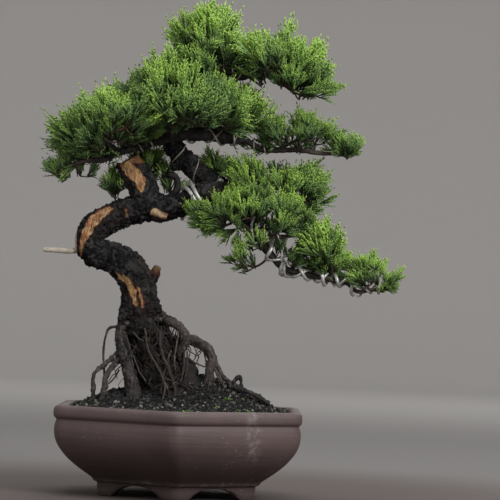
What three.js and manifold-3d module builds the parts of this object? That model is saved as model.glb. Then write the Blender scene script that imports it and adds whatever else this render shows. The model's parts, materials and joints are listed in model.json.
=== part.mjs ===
// A shimpaku juniper bonsai in a hexagonal unglazed clay pot.
// Millimetres, +Z up. Lengths below are measured from the pot's own upright centre line,
// with one corner of the pot towards -Y, and the whole model is then moved sideways so that
// the origin lies under the middle of its bounding box, on the surface that the pot stands on.
import * as THREE from 'three';
import { mergeVertices } from 'three/addons/utils/BufferGeometryUtils.js';
import Module from 'manifold-3d';

const wasm = await Module();
wasm.setup();

// ---------------------------------------------------------------- driving dimensions

const gap = 0.3;              // clearance kept between pieces that touch
const leafClearance = 2;      // between a branch and the clumps of foliage round it
const potHalfWidth = 122;     // centre to the outside of a rim flat
const potHeight = 88.6;
const cornerRadius = 14;      // rounding of the pot's six upright corners
const footHeight = 13.6;
const footHalfWidth = 78;     // centre to the outside of a foot, across the flats
const footThickness = 10;
const archHalfWidth = 28;     // the curved opening between two feet
const archHeight = 11.8;
const floorLevel = 21;        // top of the pot's floor
const drainRadius = 9;
const drainSpacing = 84;      // between the two drain holes
const screenSide = 34;
const screenThickness = 1.2;
const screenHole = 7.4;
const screenPitch = 9.6;
const soilEdge = 84;          // soil level against the wall
const soilHalfWidth = 109.4;  // centre to the soil's edge at a flat
const treeLean = 1.95;        // degrees that the tree tips to the left about the middle of the pot's rim
const treeDrop = 3;           // how far the tree is let down into the soil
const pieceSides = 8;         // sides of a branch or a root
const trunkSides = 10;
const wireSides = 5;
const stepsPerTurn = 9;       // of a wire wound on a limb
const leafKnobs = 0.05;       // unevenness of a clump of foliage
const endBulge = 0.3;         // how far a limb's end swells out, in radii
const thickWire = 1.9;        // radii of the aluminium training wires
const thinWire = 1.0;

// ---------------------------------------------------------------- materials

function finish(color, roughness, metalness = 0) {
  return new THREE.MeshStandardMaterial({ color, roughness, metalness });
}

const clay = finish(0x5a4644, 0.72);
const plasticNet = finish(0x1c1d1e, 0.6);
const grit = finish(0x24221f, 0.95);
const bark = finish(0x262423, 0.9);
const rootBark = finish(0x40352f, 0.88);
const twigBark = finish(0x5a4234, 0.85);
const wireMetal = finish(0xa9aaa8, 0.42, 1);
const leaf = finish(0x3f8a2a, 0.7);
const youngLeaf = finish(0x6fb32c, 0.7);

// ---------------------------------------------------------------- solids

// A closed skin over a row of rings that all have the same number of points.
function skin(rings, first, last) {
  const count = rings[0].length;
  const points = [first, ...rings.flat(), last];
  const at = (ring, k) => 1 + ring * count + (k % count);
  const faces = [];
  for (let k = 0; k < count; k += 1) {
    faces.push(0, at(0, k + 1), at(0, k));
    for (let ring = 0; ring + 1 < rings.length; ring += 1) {
      faces.push(at(ring, k), at(ring, k + 1), at(ring + 1, k + 1));
      faces.push(at(ring, k), at(ring + 1, k + 1), at(ring + 1, k));
    }
    faces.push(at(rings.length - 1, k), at(rings.length - 1, k + 1), points.length - 1);
  }
  const geometry = new THREE.BufferGeometry().setFromPoints(points);
  geometry.setIndex(faces);
  return geometry;
}

function toSolid(geometry) {
  const bare = geometry.clone();
  bare.deleteAttribute('normal');
  bare.deleteAttribute('uv');
  const merged = mergeVertices(bare, 1e-4);
  return new wasm.Manifold(new wasm.Mesh({
    numProp: 3,
    vertProperties: new Float32Array(merged.attributes.position.array),
    triVerts: new Uint32Array(merged.index.array),
  }));
}

function join(solids) {
  return solids.reduce((whole, next) => whole.add(next));
}

function cut(solid, tools) {
  return tools.reduce((rest, tool) => rest.subtract(tool), solid);
}

// The largest of the bodies that a cut leaves.
function mainBody(solid) {
  const bodies = solid.decompose();
  bodies.sort((a, b) => b.volume() - a.volume());
  return bodies[0];
}

const group = new THREE.Group();

function addPiece(name, solid, material, smallest = 0.03) {
  const mesh = mainBody(solid.simplify(smallest)).getMesh();
  const geometry = new THREE.BufferGeometry();
  geometry.setAttribute('position', new THREE.BufferAttribute(mesh.vertProperties, 3));
  geometry.setIndex(new THREE.BufferAttribute(mesh.triVerts, 1));
  geometry.computeVertexNormals();
  const piece = new THREE.Mesh(geometry, material);
  piece.name = name;
  group.add(piece);
}

// ---------------------------------------------------------------- limbs, roots and wires

// Points along a route of [x, y, z, radius], each with its radius and two directions across it.
function stationsOf(route, perPoint = 2) {
  const curve = new THREE.CatmullRomCurve3(
    route.map(([x, y, z]) => new THREE.Vector3(x, y, z)), false, 'centripetal');
  const steps = (route.length - 1) * perPoint;
  const stations = [];
  let across = null;
  for (let k = 0; k <= steps; k += 1) {
    const along = curve.getTangent(k / steps);
    if (!across) {
      across = Math.abs(along.z) < 0.9 ? new THREE.Vector3(0, 0, 1) : new THREE.Vector3(1, 0, 0);
    }
    across = across.clone().addScaledVector(along, -across.dot(along)).normalize();
    const place = (k / steps) * (route.length - 1);
    const low = Math.min(Math.floor(place), route.length - 2);
    const radius = THREE.MathUtils.lerp(route[low][3], route[low + 1][3], place - low);
    stations.push({
      point: curve.getPoint(k / steps),
      along,
      across,
      beside: new THREE.Vector3().crossVectors(along, across),
      radius,
    });
  }
  return stations;
}

// A tapering round limb along a route. grow makes it fatter and longer all over.
function limb(route, { sides = pieceSides, perPoint = 2, grow = 0 } = {}) {
  const stations = stationsOf(route, perPoint);
  stations[0].point.addScaledVector(stations[0].along, -grow);
  stations[stations.length - 1].point.addScaledVector(stations[stations.length - 1].along, grow);
  const rings = stations.map(({ point, across, beside, radius }) => {
    const ring = [];
    for (let k = 0; k < sides; k += 1) {
      const turn = (2 * Math.PI * k) / sides;
      ring.push(point.clone()
        .addScaledVector(across, (radius + grow) * Math.cos(turn))
        .addScaledVector(beside, (radius + grow) * Math.sin(turn)));
    }
    return ring;
  });
  const start = stations[0];
  const end = stations[stations.length - 1];
  return toSolid(skin(
    rings,
    start.point.clone().addScaledVector(start.along, -endBulge * start.radius),
    end.point.clone().addScaledVector(end.along, endBulge * end.radius)));
}

// The limbs along some routes, each fatter by the usual gap.
function grown(routes) {
  return routes.map((route) => limb(route, { grow: gap }));
}

// Training wire wound round a limb between two shares of its length.
function winding(route, { from, to, turns, radius, phase = 0 }) {
  const fine = stationsOf(route, 8);
  const steps = Math.round(turns * stepsPerTurn);
  const line = [];
  for (let k = 0; k <= steps; k += 1) {
    const place = (from + ((to - from) * k) / steps) * (fine.length - 1);
    const low = Math.min(Math.floor(place), fine.length - 2);
    const share = place - low;
    const a = fine[low];
    const b = fine[low + 1];
    const off = THREE.MathUtils.lerp(a.radius, b.radius, share) + radius + 2.4 * gap;
    const turn = 2 * Math.PI * (phase + (turns * k) / steps);
    const across = a.across.clone().lerp(b.across, share).normalize();
    const beside = a.beside.clone().lerp(b.beside, share).normalize();
    const point = a.point.clone().lerp(b.point, share)
      .addScaledVector(across, off * Math.cos(turn))
      .addScaledVector(beside, off * Math.sin(turn));
    line.push([point.x, point.y, point.z, radius]);
  }
  return limb(line, { sides: wireSides, perPoint: 1 });
}

// ---------------------------------------------------------------- pot

// One level of the pot: a hexagon with rounded corners, at a distance from the centre to its flats.
function hexagon(halfWidth, z, shape = () => 0) {
  const rounding = Math.min(cornerRadius, halfWidth / 3);
  const corner = halfWidth / Math.cos(Math.PI / 6);
  const apex = corner - rounding * (1 / Math.cos(Math.PI / 6) - 1);
  const straight = (halfWidth - rounding) * Math.tan(Math.PI / 6);
  const tangent = Math.atan2(straight, halfWidth);
  const ring = [];
  for (let side = 0; side < 6; side += 1) {
    const middle = (side * Math.PI) / 3;
    const spots = [
      [middle - Math.PI / 6, apex],
      [middle - tangent, halfWidth / Math.cos(tangent)],
      [middle + tangent, halfWidth / Math.cos(tangent)],
    ];
    for (const [angle, radius] of spots) {
      const x = radius * Math.cos(angle);
      const y = radius * Math.sin(angle);
      ring.push(new THREE.Vector3(x, y, z + shape(x, y)));
    }
  }
  return ring;
}

// The pot's section from the underside of its floor, out and up over the rim, and down inside.
const outside = [
  [footHalfWidth - footThickness, footHeight + 0.4],
  [footHalfWidth - footThickness, 0],
  [footHalfWidth - 0.5, 0],
  [footHalfWidth + 0.5, footHeight],
  [81, 14.6],
  [82.5, 16.4],
  [86.8, 20.2],
  [93.6, 25],
  [100.4, 30.3],
  [107.3, 36.6],
  [113.1, 43.4],
  [117.5, 50.2],
  [120.1, 57],
  [120.9, 63.7],
  [120.5, 69.9],
  [119.3, 74],
  [119.5, 75.7],
  [121.5, 77.2],
  [potHalfWidth, 80],
  [potHalfWidth, 84],
  [120.6, 87.1],
  [117.6, potHeight - 0.2],
  [113.7, potHeight],
  [110.6, 87.1],
  [109.6, 84.4],
];
const inside = [
  [109.8, 78],
  [111.5, 68.3],
  [111, 58.5],
  [106.3, 47.8],
  [97.5, 36.5],
  [85.8, 27],
  [74, floorLevel],
];

function makePot() {
  const rings = [...outside, ...inside].map(([halfWidth, z]) => hexagon(halfWidth, z));
  const under = new THREE.Vector3(0, 0, outside[0][1]);
  const body = toSolid(skin(rings, under, new THREE.Vector3(0, 0, floorLevel)));

  const arch = new THREE.Shape();
  arch.moveTo(-archHalfWidth, -2);
  arch.lineTo(archHalfWidth, -2);
  arch.lineTo(archHalfWidth, 0);
  arch.absellipse(0, 0, archHalfWidth, archHeight, 0, Math.PI, false);
  const tunnel = new THREE.ExtrudeGeometry(arch, {
    depth: 3 * footHalfWidth, bevelEnabled: false, curveSegments: 8,
  });
  tunnel.translate(0, 0, -1.5 * footHalfWidth);
  tunnel.rotateX(Math.PI / 2);
  tunnel.rotateZ(Math.PI / 2);
  const arches = [0, 1, 2].map((k) => toSolid(tunnel.clone().rotateZ((k * Math.PI) / 3)));

  const drill = new THREE.CylinderGeometry(drainRadius, drainRadius, floorLevel, 16);
  drill.rotateX(Math.PI / 2);
  const drains = [-1, 1].map((side) => toSolid(
    drill.clone().translate((side * drainSpacing) / 2, 0, floorLevel)));

  addPiece('pot', cut(body, [...arches, ...drains]), clay);
}

function makeDrainScreens() {
  const plate = toSolid(new THREE.BoxGeometry(screenSide, screenSide, screenThickness));
  const punches = [];
  for (let row = -1; row <= 1; row += 1) {
    for (let column = -1; column <= 1; column += 1) {
      const punch = new THREE.BoxGeometry(screenHole, screenHole, 3 * screenThickness);
      punches.push(toSolid(punch.translate(column * screenPitch, row * screenPitch, 0)));
    }
  }
  const net = cut(plate, punches);
  ['left', 'right'].forEach((side, k) => {
    const x = (k - 0.5) * drainSpacing;
    const z = floorLevel + gap + screenThickness / 2;
    addPiece(`drain_screen_${side}`, net.translate(x, 0, z), plasticNet);
  });
}

// ---------------------------------------------------------------- tree routes, [x, y, z, radius]

// The same places after the tree has tipped to the left, for one [x, y, z, ...] or a table of them.
function tipped(spec) {
  if (typeof spec[0] === 'number') {
    const [x, y, z, ...sizes] = spec;
    const turn = THREE.MathUtils.degToRad(treeLean);
    const up = z - potHeight;
    return [
      x * Math.cos(turn) - up * Math.sin(turn),
      y,
      potHeight - treeDrop + up * Math.cos(turn) + x * Math.sin(turn),
      ...sizes,
    ];
  }
  if (Array.isArray(spec)) {
    return spec.map(tipped);
  }
  if (spec.isMaterial) {
    return spec;
  }
  return Object.fromEntries(Object.entries(spec).map(([name, part]) => [name, tipped(part)]));
}

const trunkRoute = tipped([
  [-38, 2, 166, 20],
  [-40, 0, 188, 19],
  [-41, -2, 212, 17.5],
  [-50, -4, 232, 17.5],
  [-66, -6, 243, 15.5],
  [-80, -6, 248, 14.5],
  [-90, -5, 256, 14],
  [-87, -3, 268, 14],
  [-75, -1, 278, 14],
  [-60, 0, 285, 13.5],
  [-45, 0, 290, 14.5],
  [-31, 0, 292, 14],
  [-16, -1, 289, 12.5],
  [0, -3, 292, 11.5],
  [16, -7, 300, 12],
  [30, -10, 304, 12],
  [44, -8, 304, 11.5],
  [52, 1, 306, 11],
  [48, 10, 309, 10.5],
  [38, 14, 313, 10],
  [24, 14, 323, 10],
  [9, 11, 336, 10],
  [-2, 7, 347, 9.5],
  [-7, 3, 357, 9],
  [-8, 1, 366, 8],
]);
const trunkSnags = tipped({
  sawnStub: [[-32, 0, 294, 14.5], [-37, -1, 310, 14], [-44, -2, 325, 13.5], [-52, -3, 339, 12]],
  jin: [[-98, -5, 249, 3.2], [-112, -7, 247.5, 2.8], [-125, -8, 248.5, 2.6], [-136.5, -8, 249, 2.4]],
  lowerSnag: [[-34, -2, 216, 6], [-28, -3, 223, 4.6], [-22, -4, 232, 3.6]],
  elbowSnag: [[-30, -8, 290, 6], [-22, -12, 285, 4], [-14, -13, 280, 2]],
});

const roots = tipped({
  root_front_left: [
    [-48, -4, 186, 10], [-54, -6, 176, 8.5], [-57, -9, 158, 6.8], [-54, -13, 140, 6.6],
    [-49, -17, 122, 7], [-46, -20, 105, 8], [-44, -21, 92, 9],
  ],
  root_back_left: [
    [-46, 8, 182, 8], [-54, 18, 164, 6.4], [-60, 28, 140, 6], [-61, 36, 116, 6.6], [-58, 40, 92, 8],
  ],
  root_back_right: [
    [-30, 12, 180, 8], [-16, 26, 164, 6], [-3, 38, 140, 5.6], [6, 46, 114, 6.4], [10, 50, 94, 7],
  ],
  root_upper_arch: [
    [-30, -4, 183, 7], [-18, -8, 180, 5], [-1, -11, 173, 4.6], [6, -11, 162, 4.4], [4, -10, 152, 4],
    [-1, -9, 138, 4],
  ],
  root_right_arch: [
    [-10, 4, 154, 6], [8, 0, 161, 5.8], [21, -3, 157, 5.6], [31, -6, 149, 5.6], [34, -8, 138, 5.4],
    [30, -9, 126, 5], [29, -10, 108, 5.6],
  ],
  root_right_low: [
    [36, -7, 135, 3], [42, -8, 123, 3], [51, -9, 115, 3.2], [60, -10, 110, 3.2], [74, -11, 104, 2.6],
    [90, -12, 95, 2.2],
  ],
  root_left_wisp: [
    [-58, -6, 171, 1.6], [-70, -7, 170.5, 1.3], [-74.5, -7, 161, 1.3], [-76.5, -8, 141, 1.3],
    [-75, -8, 120, 1.4], [-76, -8, 98, 1.4],
  ],
  root_left_outer: [
    [-58, -10, 147, 2.6], [-75, -14, 134, 2.3], [-85, -16, 125, 2.2], [-86, -16, 112, 2.2],
    [-86, -16, 92, 2.4],
  ],
  root_left_inner: [
    [-56, -12, 142, 3], [-67, -16, 131, 2.8], [-74, -19, 120, 2.7], [-75, -21, 108, 2.6],
    [-79, -22, 92, 2.6],
  ],
});
const tangleRoute = tipped([
  [-32, 3, 176, 15], [-28, 4, 156, 19], [-20, 5, 132, 27], [-8, 5, 112, 35], [-4, 5, 98, 40],
]);

const branches = tipped({
  branch_left: [
    [[-8, 1, 363, 7], [-27, -4, 357.5, 5], [-40, -7, 353, 4.4], [-50, -9, 349.5, 4], [-62, -11, 346, 3.6],
      [-77, -13, 339, 3], [-92, -14, 338, 2.4], [-104, -14, 335, 1.8]],
    [[-62, -11, 346, 3.4], [-68, -24, 351, 2.8], [-74, -42, 358, 2]],
    [[-52, -9, 349, 3.6], [-56, 14, 354, 3], [-62, 38, 362, 2]],
  ],
  branch_right: [
    [[-12, 0, 363, 7.5], [5, -3, 365, 7], [26, -5, 365, 6.8], [47, -6, 362, 6.8], [56, -6, 361, 6],
      [66, -6, 359, 3.6], [74, -6, 354, 3.2], [84, -6, 349.5, 3], [98, -6, 349, 2.8], [118, -6, 349, 2.5],
      [138, -6, 346, 2.3], [153, -6, 345, 1.8]],
    [[98, -6, 349, 2.2], [110, 4, 356, 1.8], [122, 12, 362, 1.5]],
  ],
  branch_right_upper: [
    [[-10, -2, 366, 5], [0, -10, 374, 3.8], [15, -13, 378, 3.6], [32, -14, 375, 3.4], [48, -14, 371, 3],
      [64, -13, 369, 2.4]],
  ],
  branch_front: [
    [[-6, -4, 362, 4.6], [-8, -22, 368, 3.6], [-6, -42, 374, 2.6], [-2, -56, 380, 2]],
  ],
  branch_back: [
    [[-6, 5, 365, 4.6], [2, 24, 370, 3.8], [6, 44, 378, 2.8], [8, 58, 386, 2]],
  ],
  leader: [
    [[-8, 2, 364, 7.5], [-7, 5, 384, 6.6], [0, 6, 402, 6], [14, 4, 418, 5.6], [32, 2, 427, 5.6],
      [50, 0, 428, 5.6], [64, -1, 425, 5.2], [75, -1, 428.5, 4.2], [86, -1, 428, 3], [98, -2, 421, 2.6],
      [110, -2, 412, 2.3], [121, -2, 406, 2.2], [130, -2, 404, 2], [142, -2, 409, 1.6]],
    [[0, 6, 402, 5], [4, 5, 426, 4.4], [12, 3, 448, 3.2], [20, 1, 466, 2]],
  ],
  branch_cascade: [
    [[48, -5, 302, 8], [60, -18, 290, 6.4], [70, -26, 276, 5.6], [80, -28, 258, 4.8], [91, -27, 244, 4.4],
      [104, -26, 230, 4.2], [122, -25, 225, 4], [139, -24, 221, 3.8], [154, -24, 218, 3.4],
      [167, -24, 215, 2.8], [178, -25, 206.5, 2.4], [192, -25, 208.5, 2], [204, -25, 207, 1.5]],
  ],
  branch_cascade_front: [
    [[56, -18, 286, 4.4], [61, -36, 274, 3.2], [78, -42, 264.5, 2.8], [98, -42, 261, 2.5],
      [120, -38, 262, 2.2], [140, -32, 258, 1.8]],
  ],
  branch_low_back: [
    [[54, 6, 306, 6], [70, 20, 303, 4.4], [92, 32, 300, 3.4], [114, 38, 300, 2.4], [130, 38, 302, 1.8]],
  ],
  branch_elbow: [
    [[-22, 8, 294, 3.6], [-16, 16, 306, 2.8], [-10, 20, 320, 2.4], [-18, 24, 330, 2], [-30, 26, 334, 1.6]],
  ],
});

// ---------------------------------------------------------------- foliage, [x, y, z, rx, ry, rz]

const foliage = tipped({
  pad_apex: [
    leaf,
    [20, 0, 471, 26, 34, 22.5], [45, 0, 457, 26, 32, 24], [24, 2, 444, 34, 36, 18],
  ],
  pad_top_right: [
    youngLeaf,
    [88, 0, 448, 26, 32, 20], [114, -2, 436, 28, 30, 22], [140, -2, 424, 20, 24, 18],
  ],
  pad_main: [
    leaf,
    [-6, -8, 408, 46, 58, 34], [30, -6, 402, 36, 50, 28], [56, -4, 390, 30, 40, 21],
    [8, 40, 402, 44, 40, 26], [8, -44, 396, 40, 34, 22],
  ],
  pad_left: [
    leaf,
    [-88, -6, 370, 36, 46, 25], [-56, -10, 384, 40, 60, 27], [-58, 36, 382, 38, 36, 22],
  ],
  pad_left_tip: [
    leaf,
    [-113, -10, 333, 19, 22, 11], [-96, -12, 334, 14, 18, 8],
  ],
  pad_right: [
    leaf,
    [132, -2, 371, 25, 28, 17], [112, 4, 366, 20, 22, 12], [94, 0, 371, 19, 26, 17],
  ],
  pad_right_tip: [
    youngLeaf,
    [168, -6, 354, 12, 13, 9],
  ],
  pad_low_upper: [
    leaf,
    [76, 8, 316, 30, 38, 22], [112, 12, 316, 36, 42, 20], [128, 6, 308, 22, 28, 20],
  ],
  pad_low_front: [
    leaf,
    [36, -30, 287, 31, 26, 16], [72, -34, 292, 34, 32, 22], [104, -30, 287, 34, 30, 20],
  ],
  pad_low_under: [
    leaf,
    [62, -30, 246, 18, 26, 16], [86, -24, 258, 22, 34, 15], [110, -20, 250, 20, 28, 15],
  ],
  pad_cascade: [
    youngLeaf,
    [144, -16, 254, 26, 30, 24], [156, -18, 242, 18, 24, 17],
  ],
  pad_cascade_tip: [
    youngLeaf,
    [190, -24, 229, 21, 24, 15], [208, -24, 220, 17, 18, 13],
  ],
  tuft_back_left: [leaf, [-34, 28, 338, 17, 14, 12]],
  tuft_back_right: [leaf, [37, 34, 340, 13, 12, 13]],
  tuft_stub: [leaf, [-66, 8, 316, 11, 9, 15]],
});

// A knobbly ellipsoid: the cushion that a clump of shoots fills.
function clump([x, y, z, rx, ry, rz], grow = 0) {
  const ball = new THREE.IcosahedronGeometry(1.05, 1);
  const place = ball.attributes.position;
  for (let k = 0; k < place.count; k += 1) {
    const p = new THREE.Vector3().fromBufferAttribute(place, k);
    const wave = Math.sin(5 * p.x + x) * Math.cos(4 * p.y + y) + 0.6 * Math.sin(6 * p.z + z);
    const knob = 1 + leafKnobs * wave;
    place.setXYZ(k, p.x * (rx * knob + grow), p.y * (ry * knob + grow), p.z * (rz * knob + grow));
  }
  ball.translate(x, y, z);
  return toSolid(ball);
}

// ---------------------------------------------------------------- training wire

const windings = {
  wire_elbow: [trunkRoute, { from: 0.545, to: 0.645, turns: 1.9, radius: thickWire, phase: 0.1 }],
  wire_upper_limb: [trunkRoute, { from: 0.79, to: 0.93, turns: 2.6, radius: thinWire, phase: 0.2 }],
  wire_left: [branches.branch_left[0], { from: 0.1, to: 0.36, turns: 3.2, radius: thinWire }],
  wire_right: [
    branches.branch_right[0], { from: 0.12, to: 0.42, turns: 4.2, radius: thinWire, phase: 0.3 }],
  wire_right_end: [
    branches.branch_right[0], { from: 0.5, to: 0.68, turns: 3.1, radius: 0.8, phase: 0.5 }],
  wire_leader: [branches.leader[0], { from: 0.4, to: 0.6, turns: 3.6, radius: thinWire, phase: 0.4 }],
  wire_cascade: [
    branches.branch_cascade[0], { from: 0.2, to: 0.82, turns: 9.6, radius: thickWire, phase: 0.1 }],
  wire_cascade_end: [
    branches.branch_cascade[0], { from: 0.85, to: 0.97, turns: 2.6, radius: thinWire, phase: 0.3 }],
  wire_cascade_front: [
    branches.branch_cascade_front[0], { from: 0.24, to: 0.66, turns: 4.4, radius: thinWire, phase: 0.2 }],
};

// ---------------------------------------------------------------- making the tree

function makeTrunk() {
  const snags = Object.values(trunkSnags).map((route) => limb(route));
  addPiece('trunk', join([limb(trunkRoute, { sides: trunkSides }), ...snags]), bark);
}

// The trunk, a little fatter, to cut clearance from what grows on it.
const trunkRoom = join([
  limb(trunkRoute, { sides: trunkSides, grow: gap }), ...grown(Object.values(trunkSnags))]);

function makeRoots() {
  const made = [];
  for (const [name, route] of Object.entries(roots)) {
    addPiece(name, cut(limb(route), [trunkRoom, ...made]), rootBark);
    made.push(limb(route, { grow: gap }));
  }
  const tangle = cut(limb(tangleRoute, { sides: 12, perPoint: 1 }), [trunkRoom, ...made]);
  addPiece('root_tangle', tangle, rootBark);
  return [...made, limb(tangleRoute, { sides: 12, perPoint: 1, grow: gap })];
}

// Height of the soil over its edge, heaped up round the roots.
function mound(x, y) {
  const heap = (middleX, middleY, wide, deep, high) => (
    high * Math.exp(-(((x - middleX) / wide) ** 2) - ((y - middleY) / deep) ** 2));
  const height = heap(-66, 4, 36, 42, 15) + heap(14, 8, 54, 46, 36) + heap(74, 0, 30, 34, 5);
  const share = Math.min(1, Math.hypot(x, y) / potHalfWidth);
  return height * (1 - share ** 6);
}

function makeSoil(rootRoom) {
  const walls = [...inside].reverse().filter(([, z]) => z < soilEdge);
  const lower = walls.map(([halfWidth, z], k) => hexagon(halfWidth - 2 * gap, k ? z : z + 2 * gap));
  const edge = hexagon(soilHalfWidth, soilEdge);
  const steps = 7;
  const upper = [];
  for (let k = 1; k < steps; k += 1) {
    upper.push(hexagon((soilHalfWidth * (steps - k)) / steps, soilEdge, mound));
  }
  const bottom = new THREE.Vector3(0, 0, floorLevel + 2 * gap);
  const top = new THREE.Vector3(0, 0, soilEdge + mound(0, 0));
  const fill = toSolid(skin([...lower, edge, ...upper], bottom, top));
  const room = [-0.5, 0.5].map((side) => {
    const box = new THREE.BoxGeometry(screenSide + 2, screenSide + 2, 2 * screenThickness + 4 * gap);
    return toSolid(box.translate(side * drainSpacing, 0, floorLevel));
  });
  addPiece('soil', cut(fill, [...rootRoom, ...room]), grit);
}

function makeBranches() {
  const made = [];
  for (const [name, routes] of Object.entries(branches)) {
    const whole = join(routes.map((route) => limb(route)));
    addPiece(name, cut(whole, [trunkRoom, ...made]), twigBark);
    made.push(join(grown(routes)));
  }
}

function makeWires() {
  for (const [name, [route, how]] of Object.entries(windings)) {
    addPiece(name, winding(route, how), wireMetal);
  }
}

// The space that the wood and its wire take up, which the clumps of foliage leave free.
function woodRoom() {
  const routes = [trunkRoute, ...Object.values(branches).flat()];
  return join(routes.map((route) => {
    const wires = Object.values(windings).filter(([wound]) => wound === route);
    const wireRadius = Math.max(0, ...wires.map(([, how]) => how.radius));
    return limb(route, { sides: 6, perPoint: 1, grow: leafClearance + 3.2 * wireRadius });
  })).simplify(0.4);
}

function makeFoliage() {
  const room = woodRoom();
  const made = [];
  for (const [name, [material, ...clumps]] of Object.entries(foliage)) {
    const whole = join(clumps.map((spec) => clump(spec)));
    addPiece(name, cut(whole, [room, ...made]), material, 0.6);
    made.push(join(clumps.map((spec) => clump(spec, leafClearance / 2))));
  }
}

makePot();
makeDrainScreens();
makeTrunk();
makeSoil(makeRoots());
makeBranches();
makeWires();
makeFoliage();

// ---------------------------------------------------------------- origin

const box = new THREE.Box3().setFromObject(group);
const middle = box.getCenter(new THREE.Vector3());
group.position.set(-middle.x, -middle.y, -box.min.z);
group.updateMatrixWorld(true);

export default group;
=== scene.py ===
"""A shimpaku juniper bonsai in a hexagonal clay pot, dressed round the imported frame.

Metres and +Z up, in the frame's own axes. Routes below are in millimetres from the pot's
upright centre line, at the level of the surface that its feet stand on.
"""
import json
import math

import bpy
import numpy as np
from bpy.props import FloatProperty, FloatVectorProperty, IntProperty, PointerProperty
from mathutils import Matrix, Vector, noise


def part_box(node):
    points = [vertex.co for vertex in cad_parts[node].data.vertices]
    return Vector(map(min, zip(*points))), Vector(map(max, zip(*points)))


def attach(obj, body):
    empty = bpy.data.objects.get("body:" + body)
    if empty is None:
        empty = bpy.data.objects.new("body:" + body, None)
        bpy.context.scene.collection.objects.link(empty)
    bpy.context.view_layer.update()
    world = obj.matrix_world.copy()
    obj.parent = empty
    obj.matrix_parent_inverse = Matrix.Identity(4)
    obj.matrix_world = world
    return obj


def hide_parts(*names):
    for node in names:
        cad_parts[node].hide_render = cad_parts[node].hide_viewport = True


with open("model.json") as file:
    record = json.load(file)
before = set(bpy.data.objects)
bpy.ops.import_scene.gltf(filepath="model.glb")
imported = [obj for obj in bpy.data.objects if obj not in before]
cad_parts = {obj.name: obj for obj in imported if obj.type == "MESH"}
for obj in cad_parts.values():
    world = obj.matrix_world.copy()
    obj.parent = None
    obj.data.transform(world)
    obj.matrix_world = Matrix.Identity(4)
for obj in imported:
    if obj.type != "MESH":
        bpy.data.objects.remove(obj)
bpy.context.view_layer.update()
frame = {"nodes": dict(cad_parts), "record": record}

bl_info = {
    "name": "Juniper bonsai",
    "version": (1, 0, 0),
    "blender": (4, 5, 0),
    "location": "3D View > Sidebar > Bonsai",
    "description": "Builds a wired juniper bonsai with exposed roots in a hexagonal clay pot",
    "category": "Add Mesh",
}

BODY = "root"
MM = 0.001
BAKE_MAP = "OFBake"
MOST_TRIANGLES = 180000  # in one piece of foliage

pot_low, pot_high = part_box("pot")
POT_MIDDLE = np.array([(pot_low.x + pot_high.x) / 2, (pot_low.y + pot_high.y) / 2, 0.0])
POT_HALF_WIDTH = (pot_high.x - pot_low.x) / 2 / MM
POT_HEIGHT = pot_high.z / MM
SOIL_EDGE = POT_HEIGHT - 4.6
TREE_LEAN = math.radians(1.95)
TREE_DROP = 3
STAIN = POT_MIDDLE[0] + 74 * MM
POT_CORNER = 14
POT_UNDERSIDE = 14
POT_FLOOR = 20.9
FEET_TOP = 13.6
ARCH_HALF_WIDTH = 28
SPRAY_KINDS = 7
CORD_SIDES = 3
WIRE_STEPS = 22
OLD_WIRE = 1.5  # the greatest radius of the weathered wires
FRAME_WIDTH = 0.503
CAMERA_ASIDE = 0.067


# ---------------------------------------------------------------- sizes and colours to change


class PotSettings(bpy.types.PropertyGroup):
    clay: FloatVectorProperty(
        name="Clay", description="Colour of the unglazed body", subtype="COLOR", size=3,
        default=(0.096, 0.066, 0.064), min=0, max=1)
    dust: FloatVectorProperty(
        name="Dust", description="Colour of dust and lime on the clay", subtype="COLOR", size=3,
        default=(0.30, 0.27, 0.26), min=0, max=1)
    corner: FloatProperty(
        name="Corner", description="Rounding of the upright corners, in millimetres",
        default=POT_CORNER, min=2)
    arch: FloatProperty(
        name="Arch", description="Height of the opening between two feet, in millimetres", default=11.8)


class SoilSettings(bpy.types.PropertyGroup):
    grains: IntProperty(
        name="Grains", description="Number of loose grains on the soil", default=9000, min=0)
    grain_size: FloatProperty(
        name="Grain size", description="Usual radius of a grain", unit="LENGTH", default=1.35 * MM)


class WoodSettings(bpy.types.PropertyGroup):
    voxel: FloatProperty(
        name="Detail", description="Spacing of the trunk's surface points", unit="LENGTH",
        default=0.85 * MM, min=0.4 * MM)
    bark: FloatVectorProperty(
        name="Bark", description="Colour of the old bark", subtype="COLOR", size=3,
        default=(0.0135, 0.0130, 0.0135), min=0, max=1)
    deadwood: FloatVectorProperty(
        name="Deadwood", description="Colour of the stripped wood", subtype="COLOR", size=3,
        default=(0.50, 0.27, 0.105), min=0, max=1)
    fibres: IntProperty(
        name="Fibres", description="Number of fine roots under the trunk", default=210, min=0)


class FoliageSettings(bpy.types.PropertyGroup):
    tuft_spacing: FloatProperty(
        name="Tuft spacing", description="Distance between tufts over a cushion", unit="LENGTH",
        default=14 * MM, min=5 * MM)
    sprays: IntProperty(
        name="Sprays", description="Number of sprays in a tuft", default=4, min=1)
    cord: FloatProperty(
        name="Cord", description="Radius of a foliage cord", unit="LENGTH", default=0.98 * MM)
    length: FloatProperty(
        name="Length", description="Usual length of a spray", unit="LENGTH", default=30 * MM)


class StageSettings(bpy.types.PropertyGroup):
    distance: FloatProperty(
        name="Distance", description="Camera distance from the pot's middle", unit="LENGTH", default=2.5)
    height: FloatProperty(
        name="Height", description="Camera height above the floor", unit="LENGTH", default=0.19)
    pitch: FloatProperty(
        name="Pitch", description="How far the camera looks up", unit="ROTATION",
        default=math.radians(1.33))
    roll: FloatProperty(
        name="Roll", description="Tilt of the camera about its own axis", unit="ROTATION",
        default=math.radians(-1.95))
    key_power: FloatProperty(
        name="Key light", description="Power of the main soft light", unit="POWER", default=42)


# ---------------------------------------------------------------- shader maths


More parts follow.
